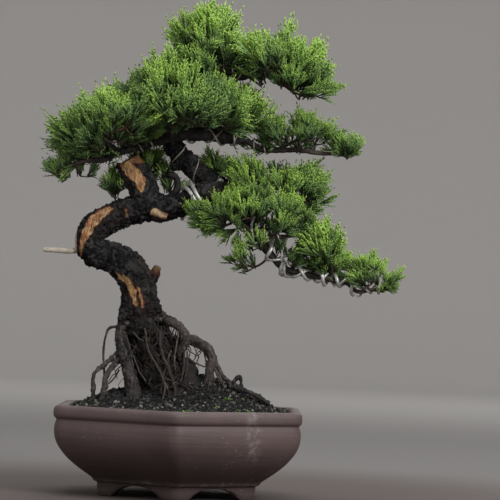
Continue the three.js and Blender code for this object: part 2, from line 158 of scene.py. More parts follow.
class Value:
    """A node's output. Sums on values add the Math nodes that work them out."""

    def __init__(self, finish, socket):
        self.finish = finish
        self.socket = socket

    def math(self, operation, first, second):
        return self.finish.node("ShaderNodeMath", {"operation": operation}, {0: first, 1: second})

    def __add__(self, other):
        return self.math("ADD", self, other)

    def __radd__(self, other):
        return self.math("ADD", other, self)

    def __sub__(self, other):
        return self.math("SUBTRACT", self, other)

    def __rsub__(self, other):
        return self.math("SUBTRACT", other, self)

    def __mul__(self, other):
        return self.math("MULTIPLY", self, other)

    def __rmul__(self, other):
        return self.math("MULTIPLY", other, self)

    def between(self, low, high):
        """0 at low and 1 at high, with a soft step between."""
        return self.finish.node(
            "ShaderNodeMapRange", {"interpolation_type": "SMOOTHSTEP"},
            {"Value": self, "From Min": low, "From Max": high})


class Finish:
    """One procedural material and the nodes that make it."""

    def __init__(self, name):
        self.material = bpy.data.materials.new(name)
        self.material.use_nodes = True
        self.nodes = self.material.node_tree.nodes
        self.links = self.material.node_tree.links
        self.shader = self.nodes["Principled BSDF"]

    def node(self, kind, settings=None, inputs=None, out=0):
        node = self.nodes.new(kind)
        for key, value in (settings or {}).items():
            if key == "stops":
                self.set_stops(node.color_ramp, value)
            else:
                setattr(node, key, value)
        for key, value in (inputs or {}).items():
            self.feed(node.inputs[key], value)
        return Value(self, node.outputs[out])

    def set_stops(self, ramp, stops):
        while len(ramp.elements) < len(stops):
            ramp.elements.new(1.0)
        for element, (place, colour) in zip(ramp.elements, stops):
            element.position = place
            element.color = (*colour, 1.0)

    def feed(self, socket, value):
        if isinstance(value, Value):
            self.links.new(value.socket, socket)
        elif isinstance(value, (tuple, list)) and len(socket.default_value) == 4:
            socket.default_value = (*value, 1.0)
        else:
            socket.default_value = value

    def set(self, **values):
        """Sets the shader's own sockets, named with _ for a space."""
        for key, value in values.items():
            self.feed(self.shader.inputs[key.replace("_", " ")], value)

    def place(self):
        return self.node("ShaderNodeTexCoord", out="Object")

    def noise(self, scale, detail=4.0, roughness=0.55, vector=None, distortion=0.0):
        return self.node(
            "ShaderNodeTexNoise", None,
            {"Vector": vector or self.place(), "Scale": scale, "Detail": detail,
             "Roughness": roughness, "Distortion": distortion})

    def stretched(self, x, y, z):
        return self.node(
            "ShaderNodeVectorMath", {"operation": "MULTIPLY"}, {0: self.place(), 1: (x, y, z)})

    def attribute(self, name):
        return self.node("ShaderNodeAttribute", {"attribute_name": name}, out="Fac")

    def mix(self, share, first, second):
        """A colour between two. Sockets 0, 6, 7 and 2 are the node's own for colours."""
        return self.node("ShaderNodeMix", {"data_type": "RGBA"}, {0: share, 6: first, 7: second}, out=2)

    def ramp(self, share, stops):
        return self.node("ShaderNodeValToRGB", {"stops": stops}, {"Fac": share})

    def parts(self, vector):
        """The three numbers of a vector."""
        split = self.node("ShaderNodeSeparateXYZ", None, {0: vector})
        return [Value(self, split.socket.node.outputs[axis]) for axis in "XYZ"]

    def bump(self, height, distance, strength=1.0, normal=None):
        inputs = {"Height": height, "Distance": distance, "Strength": strength}
        if normal:
            inputs["Normal"] = normal
        return self.node("ShaderNodeBump", None, inputs)


def clay_finish(pot):
    f = Finish("unglazed_clay")
    clay = tuple(pot.clay)
    across, depth, height = f.parts(f.place())
    clouds = f.noise(14, 5, 0.6)
    grain = f.noise(900, 3, 0.6)
    turning = f.noise(1.0, 4, 0.6, f.stretched(9, 9, 260))
    body = f.mix(clouds.between(0.35, 0.7), clay, tuple(c * 1.3 for c in clay))
    body = f.mix(turning.between(0.45, 0.75) * 0.3, body, tuple(c * 1.6 for c in clay))
    # Painted shade: the pot darkens towards its foot, under the overhanging belly.
    painted_shade_foot = (1 - height.between(0.02, 0.060)) * 0.55
    body = f.mix(painted_shade_foot, body, tuple(c * 0.5 for c in clay))
    # Lime and dust gather in drips. The pale bands along the rim and on the ledge over the feet are painted
    # highlights.
    drips = f.noise(1.0, 5, 0.62, f.stretched(42, 42, 9), 0.6).between(0.6, 0.74)
    specks = f.noise(240, 2, 0.5).between(0.68, 0.74) * f.noise(22, 2).between(0.48, 0.6)
    # Painted highlight: a pale band along the rim's top.
    rim = height.between(0.080, 0.088) * f.noise(60, 4, 0.7).between(0.3, 0.62) * 0.1
    # A pale water stain runs down the front, and short scratches cross the belly.
    stain = across.between(STAIN - 0.009, STAIN) * (1 - across.between(STAIN, STAIN + 0.012))
    stain = stain * (1 - depth.between(-0.03, 0)) * height.between(0.034, 0.05)
    stain = stain * f.noise(120, 5, 0.7).between(0.42, 0.62)
    scratches = f.noise(1.0, 2, 0.5, f.stretched(130, 130, 1300), 0.3).between(0.68, 0.72)
    scratches = scratches * f.noise(26, 2).between(0.46, 0.56) * (1 - height.between(0.060, 0.070))
    # Painted highlight: a pale band along the ledge over the feet.
    ledge_highlight = height.between(0.012, 0.0145) * (1 - height.between(0.016, 0.02))
    ledge_highlight = ledge_highlight * f.noise(70, 4, 0.7).between(0.5, 0.66)
    # The marks mix real dust, stains and scratches with the painted highlights on the rim and the ledge.
    marks_and_highlights = drips * 0.22 + specks * 0.5 + rim + stain * 0.62 + scratches * 0.7 + ledge_highlight * 0.4
    colour = f.mix(marks_and_highlights, body, tuple(pot.dust))
    f.set(Base_Color=colour, Roughness=0.5 + 0.16 * clouds + 0.2 * marks_and_highlights)
    rough = f.bump(grain, 0.00025, 0.5)
    rough = f.bump(turning, 0.0007, 0.5, rough)
    f.set(Normal=rough, Specular_IOR_Level=0.42)
    return f.material


def soil_finish():
    f = Finish("soil_bed")
    lumps = f.noise(420, 6, 0.7)
    colour = f.ramp(lumps, [(0.3, (0.004, 0.004, 0.004)), (0.62, (0.022, 0.019, 0.016)),
                            (0.8, (0.05, 0.042, 0.034))])
    f.set(Base_Color=colour, Roughness=0.95, Normal=f.bump(lumps, 0.0012))
    return f.material


def grit_finish():
    """Each grain takes its colour from its own place on the bake map."""
    f = Finish("loose_grit")
    spot = f.node("ShaderNodeUVMap", {"uv_map": BAKE_MAP})
    tone = f.parts(spot)[0]
    colour = f.ramp(tone, [
        (0.0, (0.002, 0.002, 0.002)), (0.42, (0.007, 0.007, 0.007)), (0.64, (0.038, 0.038, 0.038)),
        (0.76, (0.085, 0.074, 0.062)), (0.88, (0.14, 0.128, 0.11)), (0.95, (0.27, 0.26, 0.23)),
        (0.985, (0.08, 0.11, 0.035)), (1.0, (0.12, 0.16, 0.05))])
    f.set(Base_Color=colour, Roughness=0.9)
    return f.material


def bark_finish(wood):
    """Old bark, with the stripped and weathered wood where the mesh says it is bare."""
    f = Finish("juniper_bark")
    bark = tuple(wood.bark)
    bare = f.attribute("bare")
    pale = f.attribute("pale")
    warm = f.attribute("warm")
    olive = f.attribute("olive")
    pits = f.noise(260, 6, 0.75)
    flakes = f.noise(95, 6, 0.72, None, 1.2)
    dark = f.mix(flakes.between(0.44, 0.62), tuple(c * 0.22 for c in bark), (0.052, 0.049, 0.050))
    dark = f.mix(pits.between(0.55, 0.70) * 0.8, dark, (0.135, 0.128, 0.126))
    damp = f.noise(18, 3).between(0.52, 0.72) * 0.5
    dark = f.mix(damp, dark, (0.034, 0.024, 0.018))
    grain = f.noise(1.0, 6, 0.75, f.stretched(360, 280, 80), 0.5)
    stripes = f.noise(1.0, 5, 0.75, f.stretched(460, 320, 70), 0.4)
    gold = tuple(wood.deadwood)
    wood_colour = f.mix(warm, gold, (0.33, 0.125, 0.060))
    wood_colour = f.mix(grain.between(0.44, 0.62), wood_colour, (0.68, 0.48, 0.25))
    blotches = f.noise(150, 5, 0.7).between(0.52, 0.68)
    wood_colour = f.mix(blotches * 0.7, wood_colour, (0.15, 0.060, 0.028))
    wood_colour = f.mix(stripes.between(0.55, 0.62) * 0.9, wood_colour, (0.035, 0.014, 0.010))
    mossy = f.mix(grain.between(0.4, 0.6), (0.10, 0.078, 0.040), (0.27, 0.21, 0.115))
    wood_colour = f.mix(olive, wood_colour, mossy)
    bone = f.mix(grain.between(0.35, 0.7), (0.66, 0.60, 0.49), (0.48, 0.42, 0.33))
    wood_colour = f.mix(pale, wood_colour, bone)
    edge = bare.between(0.08, 0.4) * (1 - bare.between(0.45, 0.85))
    colour = f.mix(bare.between(0.3, 0.62), dark, wood_colour)
    colour = f.mix(edge * 0.7 * (1 - pale), colour, (0.085, 0.018, 0.012))
    f.set(Base_Color=colour, Roughness=0.82 - 0.18 * bare)
    rough = f.bump(flakes, 0.0032, 0.9)
    rough = f.bump(pits, 0.0014, 1.0, rough)
    f.set(Normal=rough, Specular_IOR_Level=0.22)
    return f.material


def root_finish():
    f = Finish("root_bark")
    clouds = f.noise(36, 5, 0.65)
    grain = f.noise(1.0, 6, 0.7, f.stretched(300, 300, 80), 0.4)
    colour = f.mix(clouds.between(0.35, 0.65), (0.008, 0.0066, 0.006), (0.066, 0.050, 0.045))
    colour = f.mix(grain.between(0.53, 0.70) * 0.8, colour, (0.225, 0.188, 0.168))
    height = f.parts(f.place())[2]
    soiled = 1 - height.between(0.095, 0.125)
    colour = f.mix(soiled * 0.6, colour, (0.014, 0.012, 0.011))
    f.set(Base_Color=colour, Roughness=0.72)
    f.set(Normal=f.bump(grain, 0.0014, 0.9, f.bump(clouds, 0.0025, 0.8)))
    return f.material


def fibre_finish():
    f = Finish("fine_roots")
    tone = f.attribute("tone")
    clods = f.noise(170, 5, 0.7)
    mat = f.mix(clods.between(0.42, 0.62), (0.004, 0.0035, 0.0035), (0.032, 0.021, 0.017))
    mat = f.mix(f.noise(40, 3).between(0.52, 0.66) * 0.6, mat, (0.040, 0.044, 0.020))
    colour = f.mix(tone, mat, (0.145, 0.115, 0.098))
    colour = f.mix(f.noise(190, 4, 0.6).between(0.42, 0.62) * 0.75, colour, (0.018, 0.013, 0.011))
    f.set(Base_Color=colour, Roughness=0.85)
    f.set(Normal=f.bump(clods, 0.0022, 0.9))
    return f.material


def twig_finish():
    """Thick limbs are near black like the trunk and slim ones brown."""
    f = Finish("branch_bark")
    slim = f.attribute("slim")
    flakes = f.noise(150, 6, 0.7, None, 0.6)
    scuffs = f.noise(420, 4, 0.7)
    dark = f.mix(flakes.between(0.4, 0.7), (0.006, 0.005, 0.005), (0.050, 0.044, 0.043))
    brown = f.mix(flakes.between(0.35, 0.68), (0.022, 0.015, 0.012), (0.100, 0.074, 0.060))
    brown = f.mix(f.noise(34, 3).between(0.52, 0.7) * 0.5, brown, (0.19, 0.075, 0.035))
    colour = f.mix(slim, dark, brown)
    colour = f.mix(scuffs.between(0.62, 0.78) * 0.5, colour, (0.20, 0.17, 0.15))
    f.set(Base_Color=colour, Roughness=0.8)
    f.set(Normal=f.bump(scuffs, 0.0004, 0.7, f.bump(flakes, 0.0009, 0.8)))
    return f.material


def wire_finish(name, clean, dull):
    f = Finish(name)
    film = f.noise(260, 4, 0.6)
    colour = f.mix(film.between(0.4, 0.7), clean, dull)
    f.set(Base_Color=colour, Roughness=0.4 + 0.2 * film, Metallic=0.6)
    f.set(Normal=f.bump(f.noise(900, 2), 0.0001, 0.4))
    return f.material


def net_finish():
    f = Finish("plastic_net")
    scuffs = f.noise(500, 4, 0.6)
    f.set(Base_Color=f.mix(scuffs.between(0.4, 0.7), (0.010, 0.011, 0.011), (0.03, 0.03, 0.029)),
          Roughness=0.5 + 0.25 * scuffs)
    f.set(Normal=f.bump(scuffs, 0.0002, 0.5))
    return f.material


def foliage_finish():
    """The bake map holds a spray's tone across and the way along it upwards."""
    f = Finish("juniper_foliage")
    spot = f.node("ShaderNodeUVMap", {"uv_map": BAKE_MAP})
    tone, along, _ = f.parts(spot)
    shaded = f.ramp(along, [
        (0.0, (0.044, 0.033, 0.018)), (0.25, (0.026, 0.046, 0.019)), (0.6, (0.078, 0.142, 0.056)),
        (1.0, (0.180, 0.310, 0.085))])
    sunny = f.ramp(along, [
        (0.0, (0.075, 0.056, 0.030)), (0.25, (0.085, 0.140, 0.052)), (0.6, (0.210, 0.345, 0.110)),
        (0.85, (0.350, 0.570, 0.100)), (1.0, (0.500, 0.730, 0.120))])
    colour = f.mix(tone, shaded, sunny)
    f.set(Base_Color=colour, Roughness=0.5, Specular_IOR_Level=0.4)
    return f.material


def weed_finish():
    f = Finish("small_weeds")
    colour = f.mix(f.noise(300, 2).between(0.35, 0.65), (0.06, 0.20, 0.02), (0.30, 0.48, 0.06))
    f.set(Base_Color=colour, Roughness=0.5)
    return f.material


def floor_finish():
    """Dark near the pot and pale on the wall."""
    f = Finish("studio")
    away = f.node("ShaderNodeVectorMath", {"operation": "LENGTH"}, {0: f.place()}, out="Value")
    colour = f.mix(away.between(0.24, 0.60), (0.10, 0.078, 0.070), (0.175, 0.165, 0.158))
    colour = f.mix(away.between(1.2, 3.6), colour, (0.575, 0.550, 0.525))
    f.set(Base_Color=colour, Roughness=0.9)
    return f.material


# ---------------------------------------------------------------- meshes


def tipped(points):
    """Places on the tree, in millimetres, after it has tipped to the left about the pot's rim."""
    x, up = points[:, 0], points[:, 2] - POT_HEIGHT
    across = x * math.cos(TREE_LEAN) - up * math.sin(TREE_LEAN)
    height = POT_HEIGHT - TREE_DROP + up * math.cos(TREE_LEAN) + x * math.sin(TREE_LEAN)
    return np.column_stack([across, points[:, 1], height, points[:, 3:]])


def untipped(points):
    """The places, in millimetres, that the tipping moved to points in metres in the frame."""
    spots = (points - POT_MIDDLE) / MM
    x, up = spots[:, 0], spots[:, 2] - POT_HEIGHT + TREE_DROP
    across = x * math.cos(TREE_LEAN) + up * math.sin(TREE_LEAN)
    height = POT_HEIGHT + up * math.cos(TREE_LEAN) - x * math.sin(TREE_LEAN)
    return np.column_stack([across, spots[:, 1], height])


def placed(route):
    """Rows of x, y, z and radius in millimetres on the upright tree, as metres in the frame."""
    rows = tipped(np.array(route, float)) * MM
    rows[:, :3] += POT_MIDDLE
    return rows


def smooth_line(rows, per_point):
    """Points on a centripetal Catmull-Rom curve through rows of x, y, z and radius."""
    ends = np.vstack([2 * rows[0] - rows[1], rows, 2 * rows[-1] - rows[-2]])
    ends[[0, -1], 3:] = rows[[0, -1], 3:]
    steps = np.arange(per_point)[:, None] / per_point
    line = []
    for k in range(1, len(rows)):
        before, start, stop, after = ends[k - 1:k + 3]
        gaps = [math.sqrt(max(np.linalg.norm(b[:3] - a[:3]), 1e-9))
                for a, b in ((before, start), (start, stop), (stop, after))]
        leave = ((start - before) / gaps[0] - (stop - before) / (gaps[0] + gaps[1])
                 + (stop - start) / gaps[1]) * gaps[1]
        reach = ((stop - start) / gaps[1] - (after - start) / (gaps[1] + gaps[2])
                 + (after - stop) / gaps[2]) * gaps[1]
        line.append(start + leave * steps + (3 * (stop - start) - 2 * leave - reach) * steps ** 2
                    + (2 * (start - stop) + leave + reach) * steps ** 3)
    return np.vstack([*line, rows[-1:]])


def unit(vectors):
    return vectors / np.maximum(np.linalg.norm(vectors, axis=-1, keepdims=True), 1e-12)


def directions(line):
    """For each point of a line: the way along it, and two ways across it that don't twist."""
    along = unit(np.gradient(line[:, :3], axis=0))
    across = np.empty_like(along)
    side = np.array([0.0, 0.0, 1.0]) if abs(along[0, 2]) < 0.9 else np.array([1.0, 0.0, 0.0])
    for k, way in enumerate(along):
        side = unit(side - way * side.dot(way))
        across[k] = side
    return along, across, np.cross(along, across)


def grid_faces(rows, sides, start=0):
    """Triangles between rows of points that each close on themselves."""
    k = np.arange(sides)
    after = (k + 1) % sides
    low = (np.arange(rows - 1) * sides)[:, None] + start
    a, b = low + k, low + after
    c, d = b + sides, a + sides
    return np.concatenate([np.stack([a, b, c], -1).reshape(-1, 3), np.stack([a, c, d], -1).reshape(-1, 3)])


def fan(ring, tip, flip=False):
    after = np.roll(ring, -1)
    faces = np.stack([ring, after, np.full(len(ring), tip)], -1)
    return faces[:, ::-1] if flip else faces


def tube(line, sides=10, swell=None, blunt=0.4):
    """Points and triangles of a round tube with domed ends. swell gives a factor for each point."""
    along, across, beside = directions(line)
    turn = 2 * np.pi * np.arange(sides) / sides
    ring = np.cos(turn)[:, None] * across[:, None] + np.sin(turn)[:, None] * beside[:, None]
    radius = np.repeat(line[:, 3, None], sides, 1)
    if swell is not None:
        radius = radius * swell(line, turn)
    points = (line[:, None, :3] + ring * radius[..., None]).reshape(-1, 3)
    ends = np.stack([line[0, :3] - along[0] * line[0, 3] * blunt,
                     line[-1, :3] + along[-1] * line[-1, 3] * blunt])
    count = len(line) * sides
    first = np.arange(sides)
    faces = [grid_faces(len(line), sides), fan(first, count, True),
             fan(first + count - sides, count + 1)]
    return np.vstack([points, ends]), np.vstack(faces)


class Heap:
    """Points and triangles gathered from many small shapes, with named values for each point."""

    def __init__(self):
        self.points = []
        self.faces = []
        self.values = {}
        self.count = 0

    def add(self, points, faces, **values):
        self.points.append(points)
        self.faces.append(faces + self.count)
        self.count += len(points)
        for key, value in values.items():
            self.values.setdefault(key, []).append(np.broadcast_to(value, len(points)))

    def arrays(self):
        return np.vstack(self.points), np.vstack(self.faces)


def new_object(name, points, faces, smooth=True):
    mesh = bpy.data.meshes.new(name)
    mesh.vertices.add(len(points))
    mesh.vertices.foreach_set("co", np.ascontiguousarray(points, np.float32).ravel())
    mesh.loops.add(faces.size)
    mesh.loops.foreach_set("vertex_index", np.ascontiguousarray(faces, np.int32).ravel())
    mesh.polygons.add(len(faces))
    mesh.polygons.foreach_set("loop_start", np.arange(0, faces.size, 3, dtype=np.int32))
    mesh.update(calc_edges=True)
    mesh.polygons.foreach_set("use_smooth", np.full(len(faces), smooth))
    piece = bpy.data.objects.new(name, mesh)
    bpy.context.scene.collection.objects.link(piece)
    return piece


def set_values(mesh, **values):
    for name, value in values.items():
        attribute = mesh.attributes.new(name, "FLOAT", "POINT")
        attribute.data.foreach_set("value", np.ascontiguousarray(value, np.float32))


def set_bake_map(mesh, places):
    """A UV map from one (across, up) pair for each vertex."""
    corners = np.empty(len(mesh.loops), np.int32)
    mesh.loops.foreach_get("vertex_index", corners)
    layer = mesh.uv_layers.new(name=BAKE_MAP)
    layer.uv.foreach_set("vector", np.ascontiguousarray(places[corners], np.float32).ravel())


def finished(piece, material, slot, *nodes):
    """Dresses a piece, hangs it on the body and hides the frame nodes it stands for."""
    piece.data.materials.clear()
    piece.data.materials.append(material)
    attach(piece, BODY)
    if nodes:
        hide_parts(*nodes)
    return piece


def from_heap(name, heap, smooth=True):
    piece = new_object(name, *heap.arrays(), smooth=smooth)
    set_values(piece.data, **{key: np.concatenate(parts) for key, parts in heap.values.items()})
    return piece


def melted(name, shapes, voxel):
    """One skin round overlapping closed shapes."""
    heap = Heap()
    for points, faces in shapes:
        heap.add(points, faces)
    rough = new_object(name + "_rough", *heap.arrays())
    remesh = rough.modifiers.new("melt", "REMESH")
    remesh.mode = "VOXEL"
    remesh.voxel_size = voxel
    remesh.use_smooth_shade = True
    graph = bpy.context.evaluated_depsgraph_get()
    mesh = bpy.data.meshes.new_from_object(rough.evaluated_get(graph))
    bpy.data.objects.remove(rough)
    mesh.name = name
    piece = bpy.data.objects.new(name, mesh)
    bpy.context.scene.collection.objects.link(piece)
    return piece


def points_of(mesh):
    points = np.empty(len(mesh.vertices) * 3, np.float32)
    mesh.vertices.foreach_get("co", points)
    return points.reshape(-1, 3).astype(float)


def normals_of(mesh):
    normals = np.empty(len(mesh.vertices) * 3, np.float32)
    mesh.vertex_normals.foreach_get("vector", normals)
    return normals.reshape(-1, 3).astype(float)


def move_points(mesh, points):
    mesh.vertices.foreach_set("co", np.ascontiguousarray(points, np.float32).ravel())
    mesh.update()


def waves(points, scale, octaves=3, seed=0.0):
    """Fractal noise, about -1 to 1, at points in metres, with features about scale metres wide."""
    offset = Vector((seed, seed * 1.7, seed * 0.3))
    spots = np.asarray(points) / scale
    return np.array([noise.fractal(Vector(p) + offset, 0.9, 2.1, octaves) for p in spots])


def nearest_on(line, points):
    """For each point, the index of the nearest point of a line and the distance to it."""
    index = np.empty(len(points), int)
    distance = np.empty(len(points))
    for part in np.array_split(np.arange(len(points)), max(1, len(points) // 20000)):
        apart = np.linalg.norm(points[part, None] - line[None, :, :3], axis=2)
        index[part] = apart.argmin(1)
        distance[part] = apart.min(1)
    return index, distance


# ---------------------------------------------------------------- routes, [x, y, z, radius]

TRUNK = [
    [-38, 2, 166, 20], [-40, 0, 188, 18.5], [-42, -2, 211, 17], [-51.5, -4, 230, 16.2],
    [-67.5, -6, 241, 14.5], [-82, -6, 246, 14.2], [-91.5, -5, 255, 14], [-88, -3, 268, 14],
    [-75, -1, 278, 14], [-60, 0, 285, 13.5], [-45, 0, 290, 14.5], [-31, 0, 292, 14],
    [-16, -1, 290, 11.8], [0, -3, 293, 10.8], [16, -7, 301, 11.4], [30, -10, 304, 12],
    [44, -8, 304, 11.5], [52, 1, 306, 11], [48, 10, 309, 10.5], [38, 14, 313, 10],
    [24, 14, 323, 10], [9, 11, 336, 10], [-2, 7, 347, 9.5], [-7, 3, 357, 9], [-8, 1, 366, 8],
]
SAWN_STUB = [[-32, 0, 294, 14.5], [-37, -1, 310, 14], [-44, -2, 325, 13.5], [-52, -3, 339, 12]]
JIN = [[-98, -5, 249, 3.2], [-112, -7, 247.5, 2.8], [-125, -8, 248.5, 2.6], [-136.5, -8, 249, 2.4]]
LOWER_SNAG = [[-34, -2, 214, 7], [-27, -3, 222, 5.4], [-22, -4, 232, 4.4]]
ELBOW_SNAG = [[-32, -9, 291, 5], [-25, -13, 286, 3.4], [-18, -14, 282.5, 2.2], [-13, -14, 281, 1.5]]
BARK_KNOBS = [
    [[-84, -6, 270, 7], [-91, -8, 277, 4.2]], [[-70, -4, 281, 7], [-73, -5, 290, 4]],
    [[-24, -4, 292, 10], [-20, -9, 294, 7]], [[4, 10, 338, 7], [-9, 8, 333, 5]],
    [[-28, -8, 190, 9], [-24, -14, 186, 7]], [[-48, -8, 188, 8], [-52, -12, 178, 7]],
]

# Where the bark is stripped: on the front (-1) or the back (1), how warm the wood's colour is,
# and rows of x, z and half width along the strip.
STRIPPED = [
    (-1, 0.1, [[-64, 226, 0.8], [-57, 221, 2.4], [-51, 215.5, 3.6], [-46.5, 207, 3.8], [-44.5, 200, 3.2],
               [-43.5, 194, 2.4]]),
    (-1, 1.0, [[-45, 217, 0.6], [-40.5, 209, 1.2], [-37.5, 200, 1.6], [-36.5, 192, 1.4]]),
    (-1, 0.75, [[-99.5, 243, 1], [-97.5, 254, 3], [-94, 265, 4.6], [-88, 275, 5.2], [-81, 283, 5],
                [-73, 289, 4], [-66, 290, 1]]),
    (-1, 0.5, [[-54, 333, 5.5], [-47, 327, 6.5], [-40, 319, 5.8], [-38, 309, 3]]),
    (-1, 0.6, [[-53, 288, 1.6], [-52, 283, 1.6]]),
    (-1, 0.3, [[-26, 288, 1.6], [-16, 282, 2.4]]),
    (1, 0.3, [[-58, 236, 1.5], [-48, 226, 5], [-42, 208, 6], [-38, 192, 5], [-36, 180, 2]]),
    (1, 0.7, [[-40, 290, 2], [-20, 291, 4.5], [4, 297, 4.5], [24, 306, 2]]),
]

ROOTS = {
    "root_front_left": [
        [-46, -3, 192, 11], [-54, -6, 176, 8.5], [-57, -9, 158, 6.8], [-54, -13, 140, 6.6],
        [-49, -17, 122, 7], [-46, -20, 105, 8], [-44, -21, 94, 9]],
    "root_back_left": [
        [-44, 6, 190, 9], [-51, 18, 164, 6], [-53, 28, 140, 5.4], [-52, 36, 116, 5.8], [-50, 40, 94, 7]],
    "root_back_right": [
        [-32, 8, 188, 9], [-16, 26, 164, 6], [-3, 38, 140, 5.6], [6, 46, 114, 6.4], [10, 50, 96, 7]],
    "root_upper_arch": [
        [-32, -6, 186, 9], [-18, -8, 180, 5.4], [-1, -11, 173, 4.6], [6, -11, 162, 4.4],
        [4, -10, 152, 4], [-1, -9, 138, 4]],
    "root_right_arch": [
        [-14, 4, 151, 6], [-6, 4, 156, 5.8], [7, 0, 159.5, 5.4], [19.5, -3, 155.5, 5.2], [29.5, -6, 148, 5.2],
        [33, -8, 138, 5], [30, -9, 126, 5], [29, -10, 108, 5.6]],
    "root_right_low": [
        [34, -7, 140, 3.4], [42, -8, 123, 3], [51, -9, 115, 3.2], [60, -10, 110, 3.2],
        [74, -11, 104, 2.6], [90, -12, 95, 2.2]],
    "root_left_wisp": [
        [-56, -6, 171, 1.8], [-70, -7, 170.5, 1.3], [-74.5, -7, 161, 1.3], [-76.5, -8, 141, 1.3],
        [-75, -8, 120, 1.4], [-76, -8, 98, 1.4]],
    "root_left_outer": [
        [-56, -9, 149, 2.8], [-75, -14, 134, 2.3], [-85, -16, 125, 2.2], [-86, -16, 112, 2.2],
        [-86, -16, 94, 2.4]],
    "root_left_inner": [
        [-54, -11, 144, 3.2], [-67, -16, 131, 2.8], [-74, -19, 120, 2.7], [-75, -21, 108, 2.6],
        [-79, -22, 94, 2.6]],
}
TANGLE = [
    [-30, 3, 182, 15], [-30, 3, 166, 19], [-26, 4, 148, 22], [-18, 5, 128, 27], [-8, 5, 110, 34],
    [-4, 5, 95, 38],
]
ROOT_LOOP = [[50, -10, 112, 1.8], [56, -12, 118, 2], [60, -12, 122, 2], [62, -11, 114, 2], [59, -10, 107, 2]]

# Slim roots that hang down in front of the mat, and a few bits of root that stick out.
HANGING_ROOTS = [
    [[-35, -20, 170, 1.0], [-32, -22, 154, 1.1], [-26, -24, 139, 1.1], [-18, -27, 125, 1.1],
     [-14, -30, 112, 1.0], [-17, -33, 97, 0.9]],
    [[-20, -15, 168, 1.5], [-18, -19, 147, 1.5], [-13, -22, 135, 1.5], [-8, -25, 122, 1.6],
     [-4, -29, 109, 1.5], [-5, -32, 98, 1.3]],
    [[-53, -17, 164, 0.8], [-50, -19, 152, 0.8], [-45, -22, 140, 0.8], [-40, -23, 127, 0.8],
     [-33, -25, 117, 0.7]],
    [[-1, -13, 167, 1.0], [-3, -16, 152, 0.9], [-5, -18, 139, 0.9], [-4, -20, 128, 0.7]],
    [[5, -14, 147, 1.1], [4, -18, 129, 1.1], [0, -23, 112, 1.0], [-4, -28, 101, 0.9]],
    [[8, -13, 147, 0.9], [7, -17, 127, 0.9], [3, -22, 112, 0.9], [-2, -28, 98, 0.8]],
    [[-18, -27, 125, 0.8], [-12, -29, 112, 0.8], [-10, -31, 105, 0.7], [-8, -32, 97, 0.6]],
    [[-43, -19, 153, 0.7], [-50, -21, 142, 0.6], [-52, -22, 139, 0.5]],
    [[-46, -17, 166, 0.9], [-40, -20, 160, 0.8], [-36, -21, 157, 0.6]],
    [[-8, -16, 148, 0.8], [-13, -21, 132, 0.8], [-17, -25, 120, 0.7]],
    [[34, -11, 132, 1.2], [40, -12, 119, 1.1], [47, -13, 109, 1.0], [53, -14, 104, 0.9]],
    [[32, -12, 132, 0.9], [27, -14, 119, 0.9], [24, -16, 106, 0.8]],
    [[36, -10, 130, 0.8], [44, -13, 114, 0.8], [46, -15, 104, 0.8]],
    [[-64, -14, 137, 1.0], [-70, -16, 128, 1.0], [-76, -15, 121, 0.9], [-74, -15, 108, 1.1],
     [-70, -15, 99, 1.0]],
    [[-60, -11, 129, 1.0], [-66, -14, 119, 0.9], [-72, -15, 114, 0.8]],
    [[-59, -8, 170, 0.7], [-64, -9, 167, 0.5]],
    [[-60, -8, 160, 0.7], [-66, -9, 157, 0.4]],
    [[-3, -6, 160, 0.6], [-8, -8, 165, 0.5], [-18, -8, 164, 0.5]],
    [[6, -6, 150, 0.7], [18, -7, 143, 0.6], [24, -8, 150, 0.5]],
    [[8, -6, 141, 0.8], [16, -6, 135, 0.7], [26, -8, 131, 0.7]],
    [[14, -6, 152, 0.5], [17, -6, 143, 0.5], [13, -6, 136, 0.5]],
]

